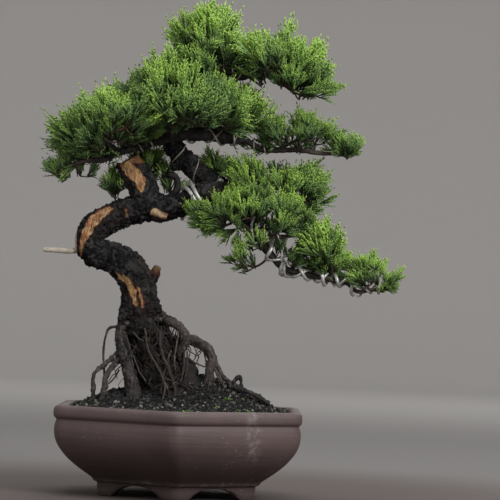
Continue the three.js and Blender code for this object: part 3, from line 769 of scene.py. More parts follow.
BRANCHES = {
    "branch_left": [
        [[-8, 1, 363, 7], [-27, -4, 357.5, 5], [-40, -7, 353, 4.4], [-50, -9, 349.5, 4],
         [-62, -11, 346, 3.6], [-77, -13, 339, 3], [-92, -14, 338, 2.4], [-104, -14, 335, 1.8]],
        [[-62, -11, 346, 3.4], [-68, -24, 351, 2.8], [-74, -42, 358, 2]],
        [[-52, -9, 349, 3.6], [-56, 14, 354, 3], [-62, 38, 362, 2]]],
    "branch_right": [
        [[-12, 0, 363, 7.5], [5, -3, 365, 7], [26, -5, 365, 6.8], [47, -6, 362, 6.8],
         [56, -6, 361, 6], [66, -6, 359, 3.6], [74, -6, 354, 3.2], [84, -6, 349.5, 3],
         [98, -6, 349, 2.8], [118, -6, 349, 2.5], [138, -6, 346, 2.3], [153, -6, 345, 1.8]],
        [[98, -6, 349, 2.2], [110, 4, 356, 1.8], [122, 12, 362, 1.5]]],
    "branch_right_upper": [
        [[-10, -2, 366, 5], [0, -10, 374, 3.8], [15, -13, 378, 3.6], [32, -14, 375, 3.4],
         [48, -14, 371, 3], [64, -13, 369, 2.4]]],
    "branch_front": [
        [[-6, -4, 362, 4.6], [-8, -22, 368, 3.6], [-6, -42, 374, 2.6], [-2, -56, 380, 2]]],
    "branch_back": [
        [[-6, 5, 365, 4.6], [2, 24, 370, 3.8], [6, 44, 378, 2.8], [8, 58, 386, 2]]],
    "leader": [
        [[-8, 2, 364, 7.5], [-7, 5, 384, 6.6], [0, 6, 402, 6], [14, 4, 418, 5.6], [32, 2, 427, 5.6],
         [50, 0, 428, 5.6], [64, -1, 425, 5.2], [75, -1, 428.5, 4.2], [86, -1, 428, 3],
         [98, -2, 421, 2.6], [110, -2, 412, 2.3], [121, -2, 406, 2.2], [130, -2, 404, 2],
         [142, -2, 409, 1.6]],
        [[0, 6, 402, 5], [4, 5, 426, 4.4], [12, 3, 448, 3.2], [20, 1, 466, 2]]],
    "branch_cascade": [
        [[48, -5, 302, 8], [60, -18, 290, 6.4], [70, -26, 276, 5.6], [80, -28, 258, 4.8],
         [91, -27, 244, 3.8], [104, -26, 230, 3.3], [122, -25, 225, 3], [139, -24, 221, 2.8],
         [154, -24, 218, 2.6], [167, -24, 215, 2.3], [178, -25, 206.5, 2.1], [192, -25, 208.5, 1.8],
         [204, -25, 207, 1.5]]],
    "branch_cascade_front": [
        [[56, -18, 286, 3.8], [61, -36, 274, 2.8], [78, -42, 264.5, 2.3], [98, -42, 261, 2],
         [120, -38, 262, 1.8], [140, -32, 258, 1.5]]],
    "branch_low_back": [
        [[54, 6, 306, 6], [70, 20, 303, 4.4], [92, 32, 300, 3.4], [114, 38, 300, 2.4],
         [130, 38, 302, 1.8]]],
    "branch_elbow": [
        [[-18, 6, 297, 4.4], [-9, 10, 303, 4], [-3, 12, 311, 3.6], [-3, 13, 319, 3.4],
         [-8, 14, 325, 3.6], [-14, 16, 325, 3], [-17, 18, 319, 2]],
        [[-8, 14, 325, 2.6], [-18, 20, 331, 1.8], [-29, 24, 336, 1.4]]],
}

# Which wood a cushion's twigs grow from, how sunny it looks and how full it is.
CUSHIONS = {
    "pad_apex": (["leader"], 1.0, 0.95),
    "pad_top_right": (["leader"], 0.90, 0.9),
    "pad_main": (["leader", "branch_front", "branch_back", "branch_right_upper"], 0.70, 1),
    "pad_left": (["branch_left"], 0.70, 1),
    "pad_left_tip": (["branch_left"], 0.34, 0.26),
    "pad_right": (["branch_right"], 0.62, 0.8),
    "pad_right_tip": (["branch_right"], 1.0, 0.8),
    "pad_low_upper": (["branch_low_back"], 0.6, 0.7),
    "pad_low_front": (["branch_cascade", "branch_cascade_front"], 0.74, 0.95),
    "pad_low_under": (["branch_cascade", "branch_cascade_front"], 0.55, 0.6),
    "pad_cascade": (["branch_cascade_front", "branch_cascade"], 1.0, 0.85),
    "pad_cascade_tip": (["branch_cascade"], 0.90, 0.8),
    "tuft_back_left": (["branch_elbow"], 0.85, 0.9),
    "tuft_back_right": (["trunk"], 1.3, 0.6),
    "tuft_stub": (["trunk"], 0.9, 0.6),
}

# Fans of foliage that stand out of a cushion: the place of their foot and of their tips.
FANS = {
    "pad_main": [
        [72, -4, 367, 94, -6, 389], [77, -4, 372, 90, -4, 402], [84, 0, 365, 105, -4, 369],
        [66, -8, 372, 80, -12, 400]],
    "pad_right": [
        [122, 0, 357, 115, 0, 389], [127, 0, 357, 130, -2, 389], [137, -2, 355, 147, -4, 382],
        [142, -2, 355, 156, -4, 369]],
    "pad_top_right": [[122, 0, 435, 140, -2, 457], [127, 0, 432, 148, -2, 449], [116, -6, 436, 128, -8, 460]],
    "pad_low_upper": [[69, 4, 319, 62, 2, 344], [70, 4, 319, 73, 0, 344], [112, 4, 312, 142, 0, 332]],
    "pad_left_tip": [[-93, -12, 337, -126, -14, 332], [-98, -12, 339, -118, -14, 347]],
    "pad_low_front": [
        [52, -36, 275, 22, -38, 272], [57, -38, 269, 37, -40, 259], [60, -38, 265, 57, -40, 251]],
    "tuft_back_left": [
        [-13, 18, 305, -20, 20, 328], [-8, 18, 309, 10, 20, 320], [-10, 22, 305, -12, 24, 330]],
}

# Wires wound on a limb: its route, the shares of it where the wire starts and stops, the turns
# (below zero when it winds the other way), the wire's radius, where it starts, and the strands.
WINDINGS = {
    "wire_elbow": [(TRUNK, 0.535, 0.655, 1.5, 1.9, 0.1, 2)],
    "wire_upper_limb": [(TRUNK, 0.78, 0.93, 2.4, 0.8, 0.2, 1)],
    "wire_left": [(BRANCHES["branch_left"][0], 0.1, 0.36, 2.3, 0.9, 0.0, 1)],
    "wire_right": [
        (BRANCHES["branch_right"][0], 0.10, 0.42, 2.6, 1.0, 0.3, 1),
        (BRANCHES["branch_right"][0], 0.14, 0.40, -1.7, 0.8, 0.8, 1)],
    "wire_right_end": [(BRANCHES["branch_right"][0], 0.48, 0.68, 2.2, 0.7, 0.5, 1)],
    "wire_leader": [
        (BRANCHES["leader"][0], 0.38, 0.60, 2.6, 1.0, 0.4, 1),
        (BRANCHES["leader"][0], 0.42, 0.58, -1.8, 0.8, 0.1, 1)],
    "wire_cascade": [
        (BRANCHES["branch_cascade"][0], 0.12, 0.82, 7.4, 1.8, 0.1, 1),
        (BRANCHES["branch_cascade"][0], 0.12, 0.5, 3.3, 1.5, 0.5, 1),
        (BRANCHES["branch_cascade"][0], 0.24, 0.74, -4.3, 1.3, 0.3, 1)],
    "wire_cascade_end": [(BRANCHES["branch_cascade"][0], 0.84, 0.97, 2.2, 1.0, 0.3, 1)],
    "wire_cascade_front": [(BRANCHES["branch_cascade_front"][0], 0.24, 0.66, 3.4, 1.0, 0.2, 1)],
}


# ---------------------------------------------------------------- pot and soil


def hexagon(half_width, corner, per_flat=24, per_corner=6):
    """One level of the pot: x, y and the way along its flat from the middle, in millimetres."""
    corner = min(corner, half_width / 3)
    reach = (half_width - corner) * math.tan(math.pi / 6)
    ring = []
    for side in range(6):
        facing = side * math.pi / 3
        out = np.array([math.cos(facing), math.sin(facing)])
        over = np.array([-out[1], out[0]])
        for step in np.linspace(-1, 1, per_flat):
            ring.append([*(out * half_width + over * reach * step), reach * step])
        middle = out * (half_width - corner) + over * reach
        for k in range(1, per_corner):
            turn = facing + math.pi / 3 * k / per_corner
            ring.append([*(middle + corner * np.array([math.cos(turn), math.sin(turn)])), reach * 2])
    return np.array(ring)


def pot_section():
    """The pot's section, as half width and height, from under its floor up and over to inside."""
    foot = [[68, POT_UNDERSIDE], [68.2, 13.4], [68.4, 6], [68.8, 0.8], [69.8, 0], [76.4, 0], [77.4, 0.9],
            [77.9, 6], [78.4, 12.6], [78.9, 13.6]]
    wall = [[80.2, POT_UNDERSIDE], [81.7, 14.7], [82.5, 15.9], [84.0, 17.9], [87.2, 20.4], [93.6, 25],
            [100.4, 30.3], [107.3, 36.6], [113.1, 43.4], [117.5, 50.2], [120.1, 57], [121, 63.7],
            [120.6, 69.9], [119.5, 73.4], [119.1, 74.7], [119.7, 75.8], [121, 76.9], [121.9, 79],
            [122, 83], [121.2, 86.4], [119.1, 88.1], [116.2, 88.6], [113.3, 88.5], [111, 87.2],
            [109.9, 84.9]]
    inside = [[109.7, 82], [110.2, 78], [111.5, 68.3], [111, 58.5], [106.3, 47.8], [97.5, 36.5], [85.8, 27],
              [74, POT_FLOOR]]
    curve = smooth_line(np.array([[a, 0, b, 0] for a, b in wall], float), 4)[:, [0, 2]]
    return np.vstack([foot, curve, inside])


def make_pot_mesh(settings):
    section = pot_section()
    rings = []
    for half_width, z in section:
        ring = hexagon(half_width, settings.corner)
        level = np.full(len(ring), z)
        if z < FEET_TOP:
            # Between two feet the lower edge rises in an arch, and the levels above it close up.
            share = np.clip(np.abs(ring[:, 2]) / ARCH_HALF_WIDTH, 0, 1)
            lift = settings.arch * (1 - share ** 2.3) ** 0.75
            level = z + lift * (1 - z / FEET_TOP)
        rings.append(np.column_stack([ring[:, :2], level]))
    points = np.array(rings).reshape(-1, 3)
    sides = len(rings[0])
    count = len(points)
    wobble = waves(points * MM, 0.05, 2, 3.0)[:, None] * 0.22
    points[:, :2] += unit(points[:, :2]) * wobble
    faces = np.vstack([
        grid_faces(len(rings), sides), fan(np.arange(sides), count, True),
        fan(np.arange(sides) + count - sides, count + 1)])
    points = np.vstack([points, [0, 0, POT_UNDERSIDE], [0, 0, POT_FLOOR]]) * MM + POT_MIDDLE
    return points, faces


def drill_drains(piece):
    """Cuts the drain holes over the nets that the frame holds."""
    for name in ("drain_screen_left", "drain_screen_right"):
        low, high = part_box(name)
        bpy.ops.mesh.primitive_cylinder_add(
            vertices=48, radius=9 * MM, depth=18 * MM,
            location=((low.x + high.x) / 2, (low.y + high.y) / 2, 17 * MM))
        drill = bpy.context.object
        hole = piece.modifiers.new("drain", "BOOLEAN")
        hole.object = drill
        hole.solver = "EXACT"
        graph = bpy.context.evaluated_depsgraph_get()
        mesh = bpy.data.meshes.new_from_object(piece.evaluated_get(graph))
        piece.modifiers.clear()
        piece.data = mesh
        bpy.data.objects.remove(drill)


def mound(x, y):
    """Height of the soil over its edge, in millimetres, heaped up round the roots."""
    heap = 0
    for middle_x, middle_y, wide, deep, high in (
            (-66, 4, 36, 42, 15), (14, 8, 54, 46, 36), (74, 0, 30, 34, 5)):
        heap = heap + high * np.exp(-((x - middle_x) / wide) ** 2 - ((y - middle_y) / deep) ** 2)
    share = np.minimum(1, np.hypot(x, y) / POT_HALF_WIDTH)
    return heap * (1 - share ** 6)


def soil_level(x, y):
    """Height of the soil's surface at a place, in millimetres."""
    spots = np.column_stack([x, y, np.zeros(len(x))])
    lumps = waves(spots * MM, 0.016, 3, 8.0) * 1.6
    return SOIL_EDGE + mound(x, y) + lumps


def make_soil_mesh():
    walls = [[74, 22], [85.8, 27.8], [97.5, 37.5], [106.3, 48.8], [110.8, 58.5], [111.3, 68.3], [110, 78]]
    rings = []
    for half_width, z in walls:
        ring = hexagon(half_width - 0.6, POT_CORNER)[:, :2]
        rings.append(np.column_stack([ring, np.full(len(ring), z)]))
    steps = 56
    for k in range(steps):
        ring = hexagon(109.8 * (steps - k) / steps - 0.4, POT_CORNER)[:, :2]
        rings.append(np.column_stack([ring, soil_level(*ring.T)]))
    points = np.vstack(rings)
    count = len(points)
    sides = len(rings[0])
    faces = np.vstack([
        grid_faces(len(rings), sides), fan(np.arange(sides), count, True),
        fan(np.arange(sides) + count - sides, count + 1)])
    top = soil_level(np.zeros(1), np.zeros(1))[0]
    return np.vstack([points, [0, 0, 22], [0, 0, top]]) * MM + POT_MIDDLE, faces


def icosahedron():
    golden = (1 + math.sqrt(5)) / 2
    points = np.array([[-1, golden, 0], [1, golden, 0], [-1, -golden, 0], [1, -golden, 0],
                       [0, -1, golden], [0, 1, golden], [0, -1, -golden], [0, 1, -golden],
                       [golden, 0, -1], [golden, 0, 1], [-golden, 0, -1], [-golden, 0, 1]])
    faces = np.array([[0, 11, 5], [0, 5, 1], [0, 1, 7], [0, 7, 10], [0, 10, 11], [1, 5, 9],
                      [5, 11, 4], [11, 10, 2], [10, 7, 6], [7, 1, 8], [3, 9, 4], [3, 4, 2],
                      [3, 2, 6], [3, 6, 8], [3, 8, 9], [4, 9, 5], [2, 4, 11], [6, 2, 10],
                      [8, 6, 7], [9, 8, 1]])
    return unit(points.astype(float)), faces


def random_turns(rng, count):
    """Random rotation matrices."""
    q = unit(rng.normal(size=(count, 4)))
    w, x, y, z = q.T
    return np.stack([
        np.stack([1 - 2 * (y * y + z * z), 2 * (x * y - z * w), 2 * (x * z + y * w)], -1),
        np.stack([2 * (x * y + z * w), 1 - 2 * (x * x + z * z), 2 * (y * z - x * w)], -1),
        np.stack([2 * (x * z - y * w), 2 * (y * z + x * w), 1 - 2 * (x * x + y * y)], -1)], 1)


def make_grit_mesh(settings):
    rng = np.random.default_rng(11)
    spots = rng.uniform(-1, 1, (settings.grains * 2, 2)) * [109, 126]
    facing = np.arange(3) * math.pi / 3
    reach = np.abs(spots @ np.stack([np.cos(facing), np.sin(facing)])).max(1)
    spots = spots[reach < 108][:settings.grains]
    count = len(spots)
    size = settings.grain_size / MM * rng.lognormal(0, 0.28, count).clip(0.5, 1.9)
    level = soil_level(*spots.T) + size * rng.uniform(-0.1, 0.7, count)
    ball, faces = icosahedron()
    shapes = ball * rng.uniform(0.72, 1.25, (count, len(ball), 1))
    shapes *= rng.uniform(0.65, 1.15, (count, 1, 3)) * size[:, None, None]
    shapes = np.einsum("nij,nkj->nki", random_turns(rng, count), shapes)
    points = (shapes + np.column_stack([spots, level])[:, None]) * MM + POT_MIDDLE
    tone = rng.beta(1.5, 2.3, count)
    rare = rng.random(count)
    tone[rare < 0.035] = rng.uniform(0.84, 0.965, (rare < 0.035).sum())
    tone[rare > 0.994] = rng.uniform(0.975, 0.995, (rare > 0.994).sum())
    all_faces = faces[None] + (np.arange(count) * len(ball))[:, None, None]
    # Each grain is a small patch of the bake map, which holds its tone across.
    patch = ball[:, :2] * 0.003
    places = np.stack([tone.clip(0.005, 0.995), rng.uniform(0.01, 0.99, count)], 1)[:, None] + patch
    return points.reshape(-1, 3), all_faces.reshape(-1, 3), places.reshape(-1, 2)


# ---------------------------------------------------------------- wood


def knotty(seed, depth=0.1, scale=0.012):
    """A swell for tube(): long ridges and small knots."""
    def swell(line, turn):
        way = np.linalg.norm(np.diff(line[:, :3], axis=0), axis=1).cumsum()
        way = np.concatenate([[0], way])
        factor = np.ones((len(line), len(turn)))
        for k, angle in enumerate(turn):
            around = np.tile([math.cos(angle) * 1.6, math.sin(angle) * 1.6], (len(way), 1))
            spots = np.column_stack([way / scale, around])
            factor[:, k] += depth * np.array(
                [noise.fractal(Vector(p) + Vector((seed, 0, seed)), 0.8, 2.1, 3) for p in spots])
        return factor
    return swell


def bare_wood(points, line):
    """How bare each point of the trunk is, and how warm the wood is there."""
    spots = untipped(points)
    index, _ = nearest_on(line, points)
    behind = (points[:, 1] - line[index, 1]) / np.maximum(line[index, 3], 1e-6)
    ragged = waves(points, 0.005, 3, 5.0) * 1.7
    bare = np.zeros(len(points))
    warm = np.zeros(len(points))
    for side, warmth, strip in STRIPPED:
        strip = np.array(strip, float)
        best = np.full(len(points), -99.0)
        for a, b in zip(strip[:-1], strip[1:]):
            way = b[:2] - a[:2]
            share = (((spots[:, [0, 2]] - a[:2]) @ way) / way.dot(way)).clip(0, 1)
            off = np.linalg.norm(spots[:, [0, 2]] - a[:2] - share[:, None] * way, axis=1)
            best = np.maximum(best, a[2] + (b[2] - a[2]) * share - off)
        here = ((best + ragged) / 1.6 + 0.5).clip(0, 1) * ((side * behind + 0.15) / 0.25).clip(0, 1)
        warm = np.where(here > bare, warmth, warm)
        bare = np.maximum(bare, here)
    return bare, warm


def make_trunk(settings):
    line = smooth_line(placed(TRUNK), 10)
    shapes = [tube(line, 28)]
    for route in (SAWN_STUB, JIN, LOWER_SNAG, ELBOW_SNAG, *BARK_KNOBS):
        shapes.append(tube(smooth_line(placed(route), 5), 18, blunt=0.15))
    for name in ("root_front_left", "root_back_left", "root_back_right", "root_upper_arch"):
        flare = placed(ROOTS[name])[:3]
        flare[:, 3] *= [1.1, 0.95, 0.6]
        shapes.append(tube(smooth_line(flare, 6), 16))
    piece = melted("trunk_wood", shapes, settings.voxel)
    mesh = piece.data
    points = points_of(mesh)
    normals = normals_of(mesh)
    spots = untipped(points)
    bare, warm = bare_wood(points, line)
    jin = ((-101 - spots[:, 0]) / 4).clip(0, 1)
    snags = []
    for route in (LOWER_SNAG, ELBOW_SNAG):
        _, apart = nearest_on(smooth_line(placed(route)[1:], 6), points)
        snags.append(((5.5 * MM - apart) / (1.5 * MM)).clip(0, 1))
    olive = snags[0]
    snags = np.maximum(*snags)
    rings_cut = ((spots[:, 2] - 333) / 3).clip(0, 1) * (spots[:, 0] < -20)
    bare = np.maximum.reduce([bare, jin, snags * 0.9, rings_cut * 0.6])
    warm = np.where((snags > 0.5) | (rings_cut > 0.5), 0.25, warm)

    index, _ = nearest_on(line, points)
    way = np.concatenate([[0], np.linalg.norm(np.diff(line[:, :3], axis=0), axis=1).cumsum()])[index]
    out = unit(points - line[index, :3])
    grain = np.column_stack([way / 3.2, out[:, 0] * 0.011, out[:, 2] * 0.011 + out[:, 1] * 0.008])
    ridges = 1 - np.abs(waves(grain, 0.0042, 3, 2.0)) * 2
    lumps = waves(points, 0.015, 2, 1.0)
    flakes = waves(points, 0.0036, 3, 4.0)
    chips = np.abs(waves(points, 0.0022, 2, 14.0)) * 2 - 0.5
    cracks = np.minimum(0, np.abs(waves(points, 0.007, 2, 9.0)) * 7 - 1)
    warts = np.maximum(0, waves(points, 0.010, 2, 12.0) - 0.25) * 4
    rough = lumps * 1.3 + ridges * 0.8 + flakes * 1.5 + chips * 0.8 + cracks * 0.9 + warts
    lip = np.exp(-((bare - 0.22) / 0.16) ** 2) * 1.1
    smooth_wood = -1.2 + ridges * 0.6 + flakes * 0.15
    shift = (rough + lip) * (1 - bare) + smooth_wood * bare
    sound = np.maximum(jin, snags)
    shift = shift * (1 - sound) + flakes * np.where(snags > jin, 0.6, 0.15) * sound
    base = ((spots[:, 2] - 152) / 12).clip(0.3, 1)
    move_points(mesh, points + normals * (shift * base * MM)[:, None])
    pale = np.maximum(jin, (snags - olive) * 0.3)
    set_values(mesh, bare=bare, warm=warm, pale=pale, olive=olive)
    return piece


def make_roots(settings):
    """The thick roots as one grown piece."""
    shapes = []
    for k, route in enumerate(ROOTS.values()):
        line = smooth_line(placed(route), 8)
        shapes.append(tube(line, 18, knotty(k * 3.1, 0.12, 0.016)))
    shapes.append(tube(smooth_line(placed(ROOT_LOOP), 8), 12))
    piece = melted("exposed_roots", shapes, settings.voxel * 0.9)
    mesh = piece.data
    points = points_of(mesh)
    shift = waves(points, 0.011, 3, 6.0) * 1.6 + waves(points, 0.0035, 2, 2.0) * 0.9
    _, thick = nearest_on(smooth_line(placed(ROOTS["root_left_wisp"]), 8), points)
    slim = (thick / (4 * MM)).clip(0.2, 1)
    move_points(mesh, points + normals_of(mesh) * (shift * slim * MM)[:, None])
    return piece


def wandering(start, stop, bulge, rng, steps, stray):
    """A curved line from start to stop that bulges outwards and wanders."""
    t = np.linspace(0, 1, steps)[:, None]
    line = (1 - t) ** 2 * start + 2 * t * (1 - t) * bulge + t ** 2 * stop
    phase = rng.uniform(0, 50)
    wander = np.array([noise.noise_vector(Vector((phase, k * 0.45, 0))) for k in range(steps)])
    return line + wander * stray * np.sin(np.pi * t)


def make_tangle(settings):
    """The dark mat of fine roots under the trunk, with the roots that hang in front of it."""
    rng = np.random.default_rng(5)
    # Without a seed, noise_vector follows the clock and the root fibres differ from run to run.
    noise.seed_set(5)
    heap = Heap()
    core = smooth_line(placed(TANGLE), 10)
    points, faces = tube(core, 90)
    index, _ = nearest_on(core, points)
    out = unit(points - core[index, :3])
    hollow = waves(points, 0.016, 4, 7.0) * 8 + waves(points, 0.0045, 3, 3.0) * 2.4 - 3.5
    points = points + out * (hollow * MM)[:, None]
    heap.add(points, faces, tone=0.0)

    def fibre(line, tone, sides=6):
        body, skin = tube(line, sides)
        heap.add(body, skin, tone=tone)

    for route in HANGING_ROOTS:
        line = smooth_line(placed(route), 6)
        line[:, :3] += waves(line[:, :3], 0.009, 2, 3.0)[:, None] * rng.normal(0, 0.9, 3) * MM
        fibre(line, rng.uniform(0.25, 0.85), 8)
    for _ in range(settings.fibres):
        # A fine root creeps down over the mat, straying to either side, in and out.
        turn = rng.uniform(0, 2 * np.pi)
        place = rng.uniform(0, 0.75)
        steps = rng.integers(8, 22)
        drift = rng.normal(0, 0.08)
        radius = rng.choice([0.3, 0.45, 0.65, 1.0], p=[0.4, 0.35, 0.17, 0.08])
        line = []
        off = rng.uniform(-1.5, 1.0)
        for step in range(steps):
            at = min(place * (len(core) - 1), len(core) - 1.001)
            low = int(at)
            x, y, z, reach = core[low] + (core[low + 1] - core[low]) * (at - low)
            line.append([x + math.cos(turn) * (reach + off * MM), y + math.sin(turn) * (reach + off * MM),
                         z, radius * MM * (1.1 - 0.5 * step / steps)])
            drift = 0.6 * drift + rng.normal(0, 0.09)
            turn += drift
            off += rng.normal(0.05, 0.7)
            place += rng.uniform(0.012, 0.045)
            if place > 0.97:
                break
        if len(line) > 3:
            fibre(smooth_line(np.array(line), 2), rng.beta(1.0, 3.6) * 0.55, 5)
    for name, low, high in (("root_right_arch", 2, 7), ("root_upper_arch", 1, 5), ("root_front_left", 1, 5)):
        route = np.array(ROOTS[name], float)[:, :3]
        for _ in range(8):
            place = rng.uniform(low, high - 1)
            at = route[int(place)] + (route[int(place) + 1] - route[int(place)]) * (place % 1)
            foot = at + rng.normal(0, 7, 3)
            foot[2] = max(SOIL_EDGE + mound(foot[0], foot[1]) + 1, at[2] - rng.uniform(12, 45))
            line = wandering(at, foot, (at + foot) / 2 + rng.normal(0, 7, 3), rng, 12, 6)
            taper = np.linspace(1.15, 0.6, 12) * rng.uniform(0.3, 0.7)
            fibre(placed(np.column_stack([line, taper])), rng.beta(1.4, 3.2), 5)
    return from_heap("fine_roots", heap)


def make_branch(name, seed):
    heap = Heap()
    for k, route in enumerate(BRANCHES[name]):
        line = smooth_line(placed(route), 9)
        points, faces = tube(line, 16, knotty(seed * 7.3 + k, 0.22, 0.007))
        slim = np.repeat(((3.2 * MM - line[:, 3]) / (1.2 * MM)).clip(0, 1), 16)
        heap.add(points, faces, slim=np.concatenate([slim, slim[[0, -1]]]))
    return from_heap(name + "_wood", heap)


# ---------------------------------------------------------------- wire


def coiled(heap, route, start, stop, turns, radius, phase, strands):
    """Adds wire wound round a limb, with each turn a little uneven."""
    fine = smooth_line(placed(route), 12)
    _, across, beside = directions(fine)
    steps = int(abs(turns) * WIRE_STEPS)
    for strand in range(strands):
        shift = strand * 2.15 * radius * MM
        spacing = np.linalg.norm(np.diff(fine[:, :3], axis=0), axis=1).mean()
        share = np.linspace(start, stop, steps) + shift / spacing / len(fine)
        place = (share * (len(fine) - 1)).clip(0, len(fine) - 1.001)
        low = place.astype(int)
        part = (place - low)[:, None]
        middle = fine[low] * (1 - part) + fine[low + 1] * part
        turn = 2 * np.pi * (phase + turns * np.linspace(0, 1, steps))
        turn = turn + 0.45 * np.sin(turn * 0.37 + strand) + 0.2 * np.sin(turn * 1.3)
        loose = 0.3 + radius * (0.5 + 0.5 * np.sin(turn * 0.61 + 2 * phase))
        off = middle[:, 3] + (radius + loose) * MM
        ways = (np.cos(turn)[:, None] * across[low] + np.sin(turn)[:, None] * beside[low])
        line = np.column_stack([middle[:, :3] + ways * off[:, None], np.full(steps, radius * MM)])
        points, faces = tube(line, 10, blunt=0.5)
        heap.add(points, faces)


# ---------------------------------------------------------------- foliage


def cord(points, radii):
    """Points and triangles of one tapering three-sided cord with a pointed tip."""
    line = np.column_stack([points, radii])
    _, across, beside = directions(line)
    first = np.arange(CORD_SIDES)
    turn = 2 * np.pi * first / CORD_SIDES
    ring = np.cos(turn)[:, None] * across[:, None] + np.sin(turn)[:, None] * beside[:, None]
    body = points[:-1, None] + ring[:-1] * radii[:-1, None, None]
    rows = len(points) - 1
    faces = [grid_faces(rows, CORD_SIDES), np.array([[2, 1, 0]]),
             fan(first + (rows - 1) * CORD_SIDES, rows * CORD_SIDES)]
    return np.vstack([body.reshape(-1, 3), points[-1:]]), np.vstack(faces)


def spray_pattern(seed, length, radius):
    """One spray: long cords that fan out along +Z, with stubby shoots crowded at their tips."""
    rng = np.random.default_rng(seed)
    heap = Heap()

    def grow(start, way, reach, thick, steps, low, high, blunt=0.5):
        bend = rng.normal(0, 0.10, 3)
        t = np.linspace(0, 1, steps)[:, None]
        line = start + way * reach * t + (bend + [0, 0, 0.16]) * reach * t ** 2
        points, faces = cord(line, thick * np.interp(t[:, 0], [0, 0.8, 1], [0.85, 1.0, blunt]))
        rows = np.append(np.repeat(np.arange(steps - 1), CORD_SIDES), steps - 1) / (steps - 1)
        edge = np.append(np.tile([0.0, 0.5, 1.0], steps - 1), 0.5)
        heap.add(points, faces, along=low + (high - low) * rows, edge=edge)
        return line

    def stubs(line, way, count):
        for place in np.linspace(0.6, 0.97, count):
            spot = np.array([np.interp(place, np.linspace(0, 1, len(line)), line[:, i]) for i in range(3)])
            off = unit(np.cross(way, rng.normal(0, 1, 3)))
            grow(spot, unit(way + off * rng.uniform(0.5, 1.0)), rng.uniform(2.4, 4.6) * MM, radius * 1.15, 2,
                 0.1 + 0.8 * place, 1.0)

    up = np.array([0, 0, 1.0])
    stem = grow(np.zeros(3), up, length, radius * 0.9, 6, 0.0, 1.0)
    stubs(stem, up, 4)
    count = 8
    roll = rng.uniform(0, np.pi)
    for k in range(count):
        share = 0.10 + 0.52 * max(0, k + rng.uniform(-0.3, 0.3)) / (count - 1)
        at = np.array([np.interp(share, np.linspace(0, 1, 6), stem[:, i]) for i in range(3)])
        turn = roll + np.pi * k + rng.normal(0, 0.5)
        lean = rng.uniform(0.16, 0.50)
        way = np.array([math.sin(lean) * math.cos(turn), math.sin(lean) * math.sin(turn), math.cos(lean)])
        reach = length * (0.93 - share) * rng.uniform(0.6, 1.0)
        side = grow(at, way, reach, radius * 0.95, 4, share * 0.9, 1.0)
        stubs(side, way, 3)
    points, faces = heap.arrays()
    return points, faces, np.concatenate(heap.values["along"]), np.concatenate(heap.values["edge"])


def skin_samples(node, spacing, clear, rng):
    """Points about spacing apart over a frame node's skin, with the way out of it there."""
    mesh = frame["nodes"][node].data
    mesh.calc_loop_triangles()
    corners = np.empty(len(mesh.loop_triangles) * 3, np.int32)
    mesh.loop_triangles.foreach_get("vertices", corners)
    a, b, c = points_of(mesh)[corners.reshape(-1, 3)].transpose(1, 0, 2)
    normal = np.cross(b - a, c - a)
    area = np.linalg.norm(normal, axis=1) / 2
    tries = int(area.sum() / spacing ** 2 * 9) + 20
    pick = rng.choice(len(area), tries, p=area / area.sum())
    u, v = rng.random((2, tries, 1))
    flip = u + v > 1
    u, v = np.where(flip, 1 - u, u), np.where(flip, 1 - v, v)
    spots = a[pick] + (b - a)[pick] * u + (c - a)[pick] * v
    ways = unit(normal)[pick]
    free = ~near_wood(spots, clear)
    spots, ways = spots[free], ways[free]
    kept = []
    for k, spot in enumerate(spots):
        if not kept or (np.linalg.norm(spots[kept] - spot, axis=1) > spacing * 0.8).all():
            kept.append(k)
    return spots[kept], ways[kept]


def wood_lines():
    lines = [smooth_line(placed(TRUNK), 6)]
    lines += [smooth_line(placed(route), 6) for routes in BRANCHES.values() for route in routes]
    return np.vstack(lines)


WOOD = wood_lines()


def near_wood(spots, clear):
    apart = np.linalg.norm(spots[:, None] - WOOD[None, :, :3], axis=2) - WOOD[None, :, 3]
    return apart.min(1) < clear


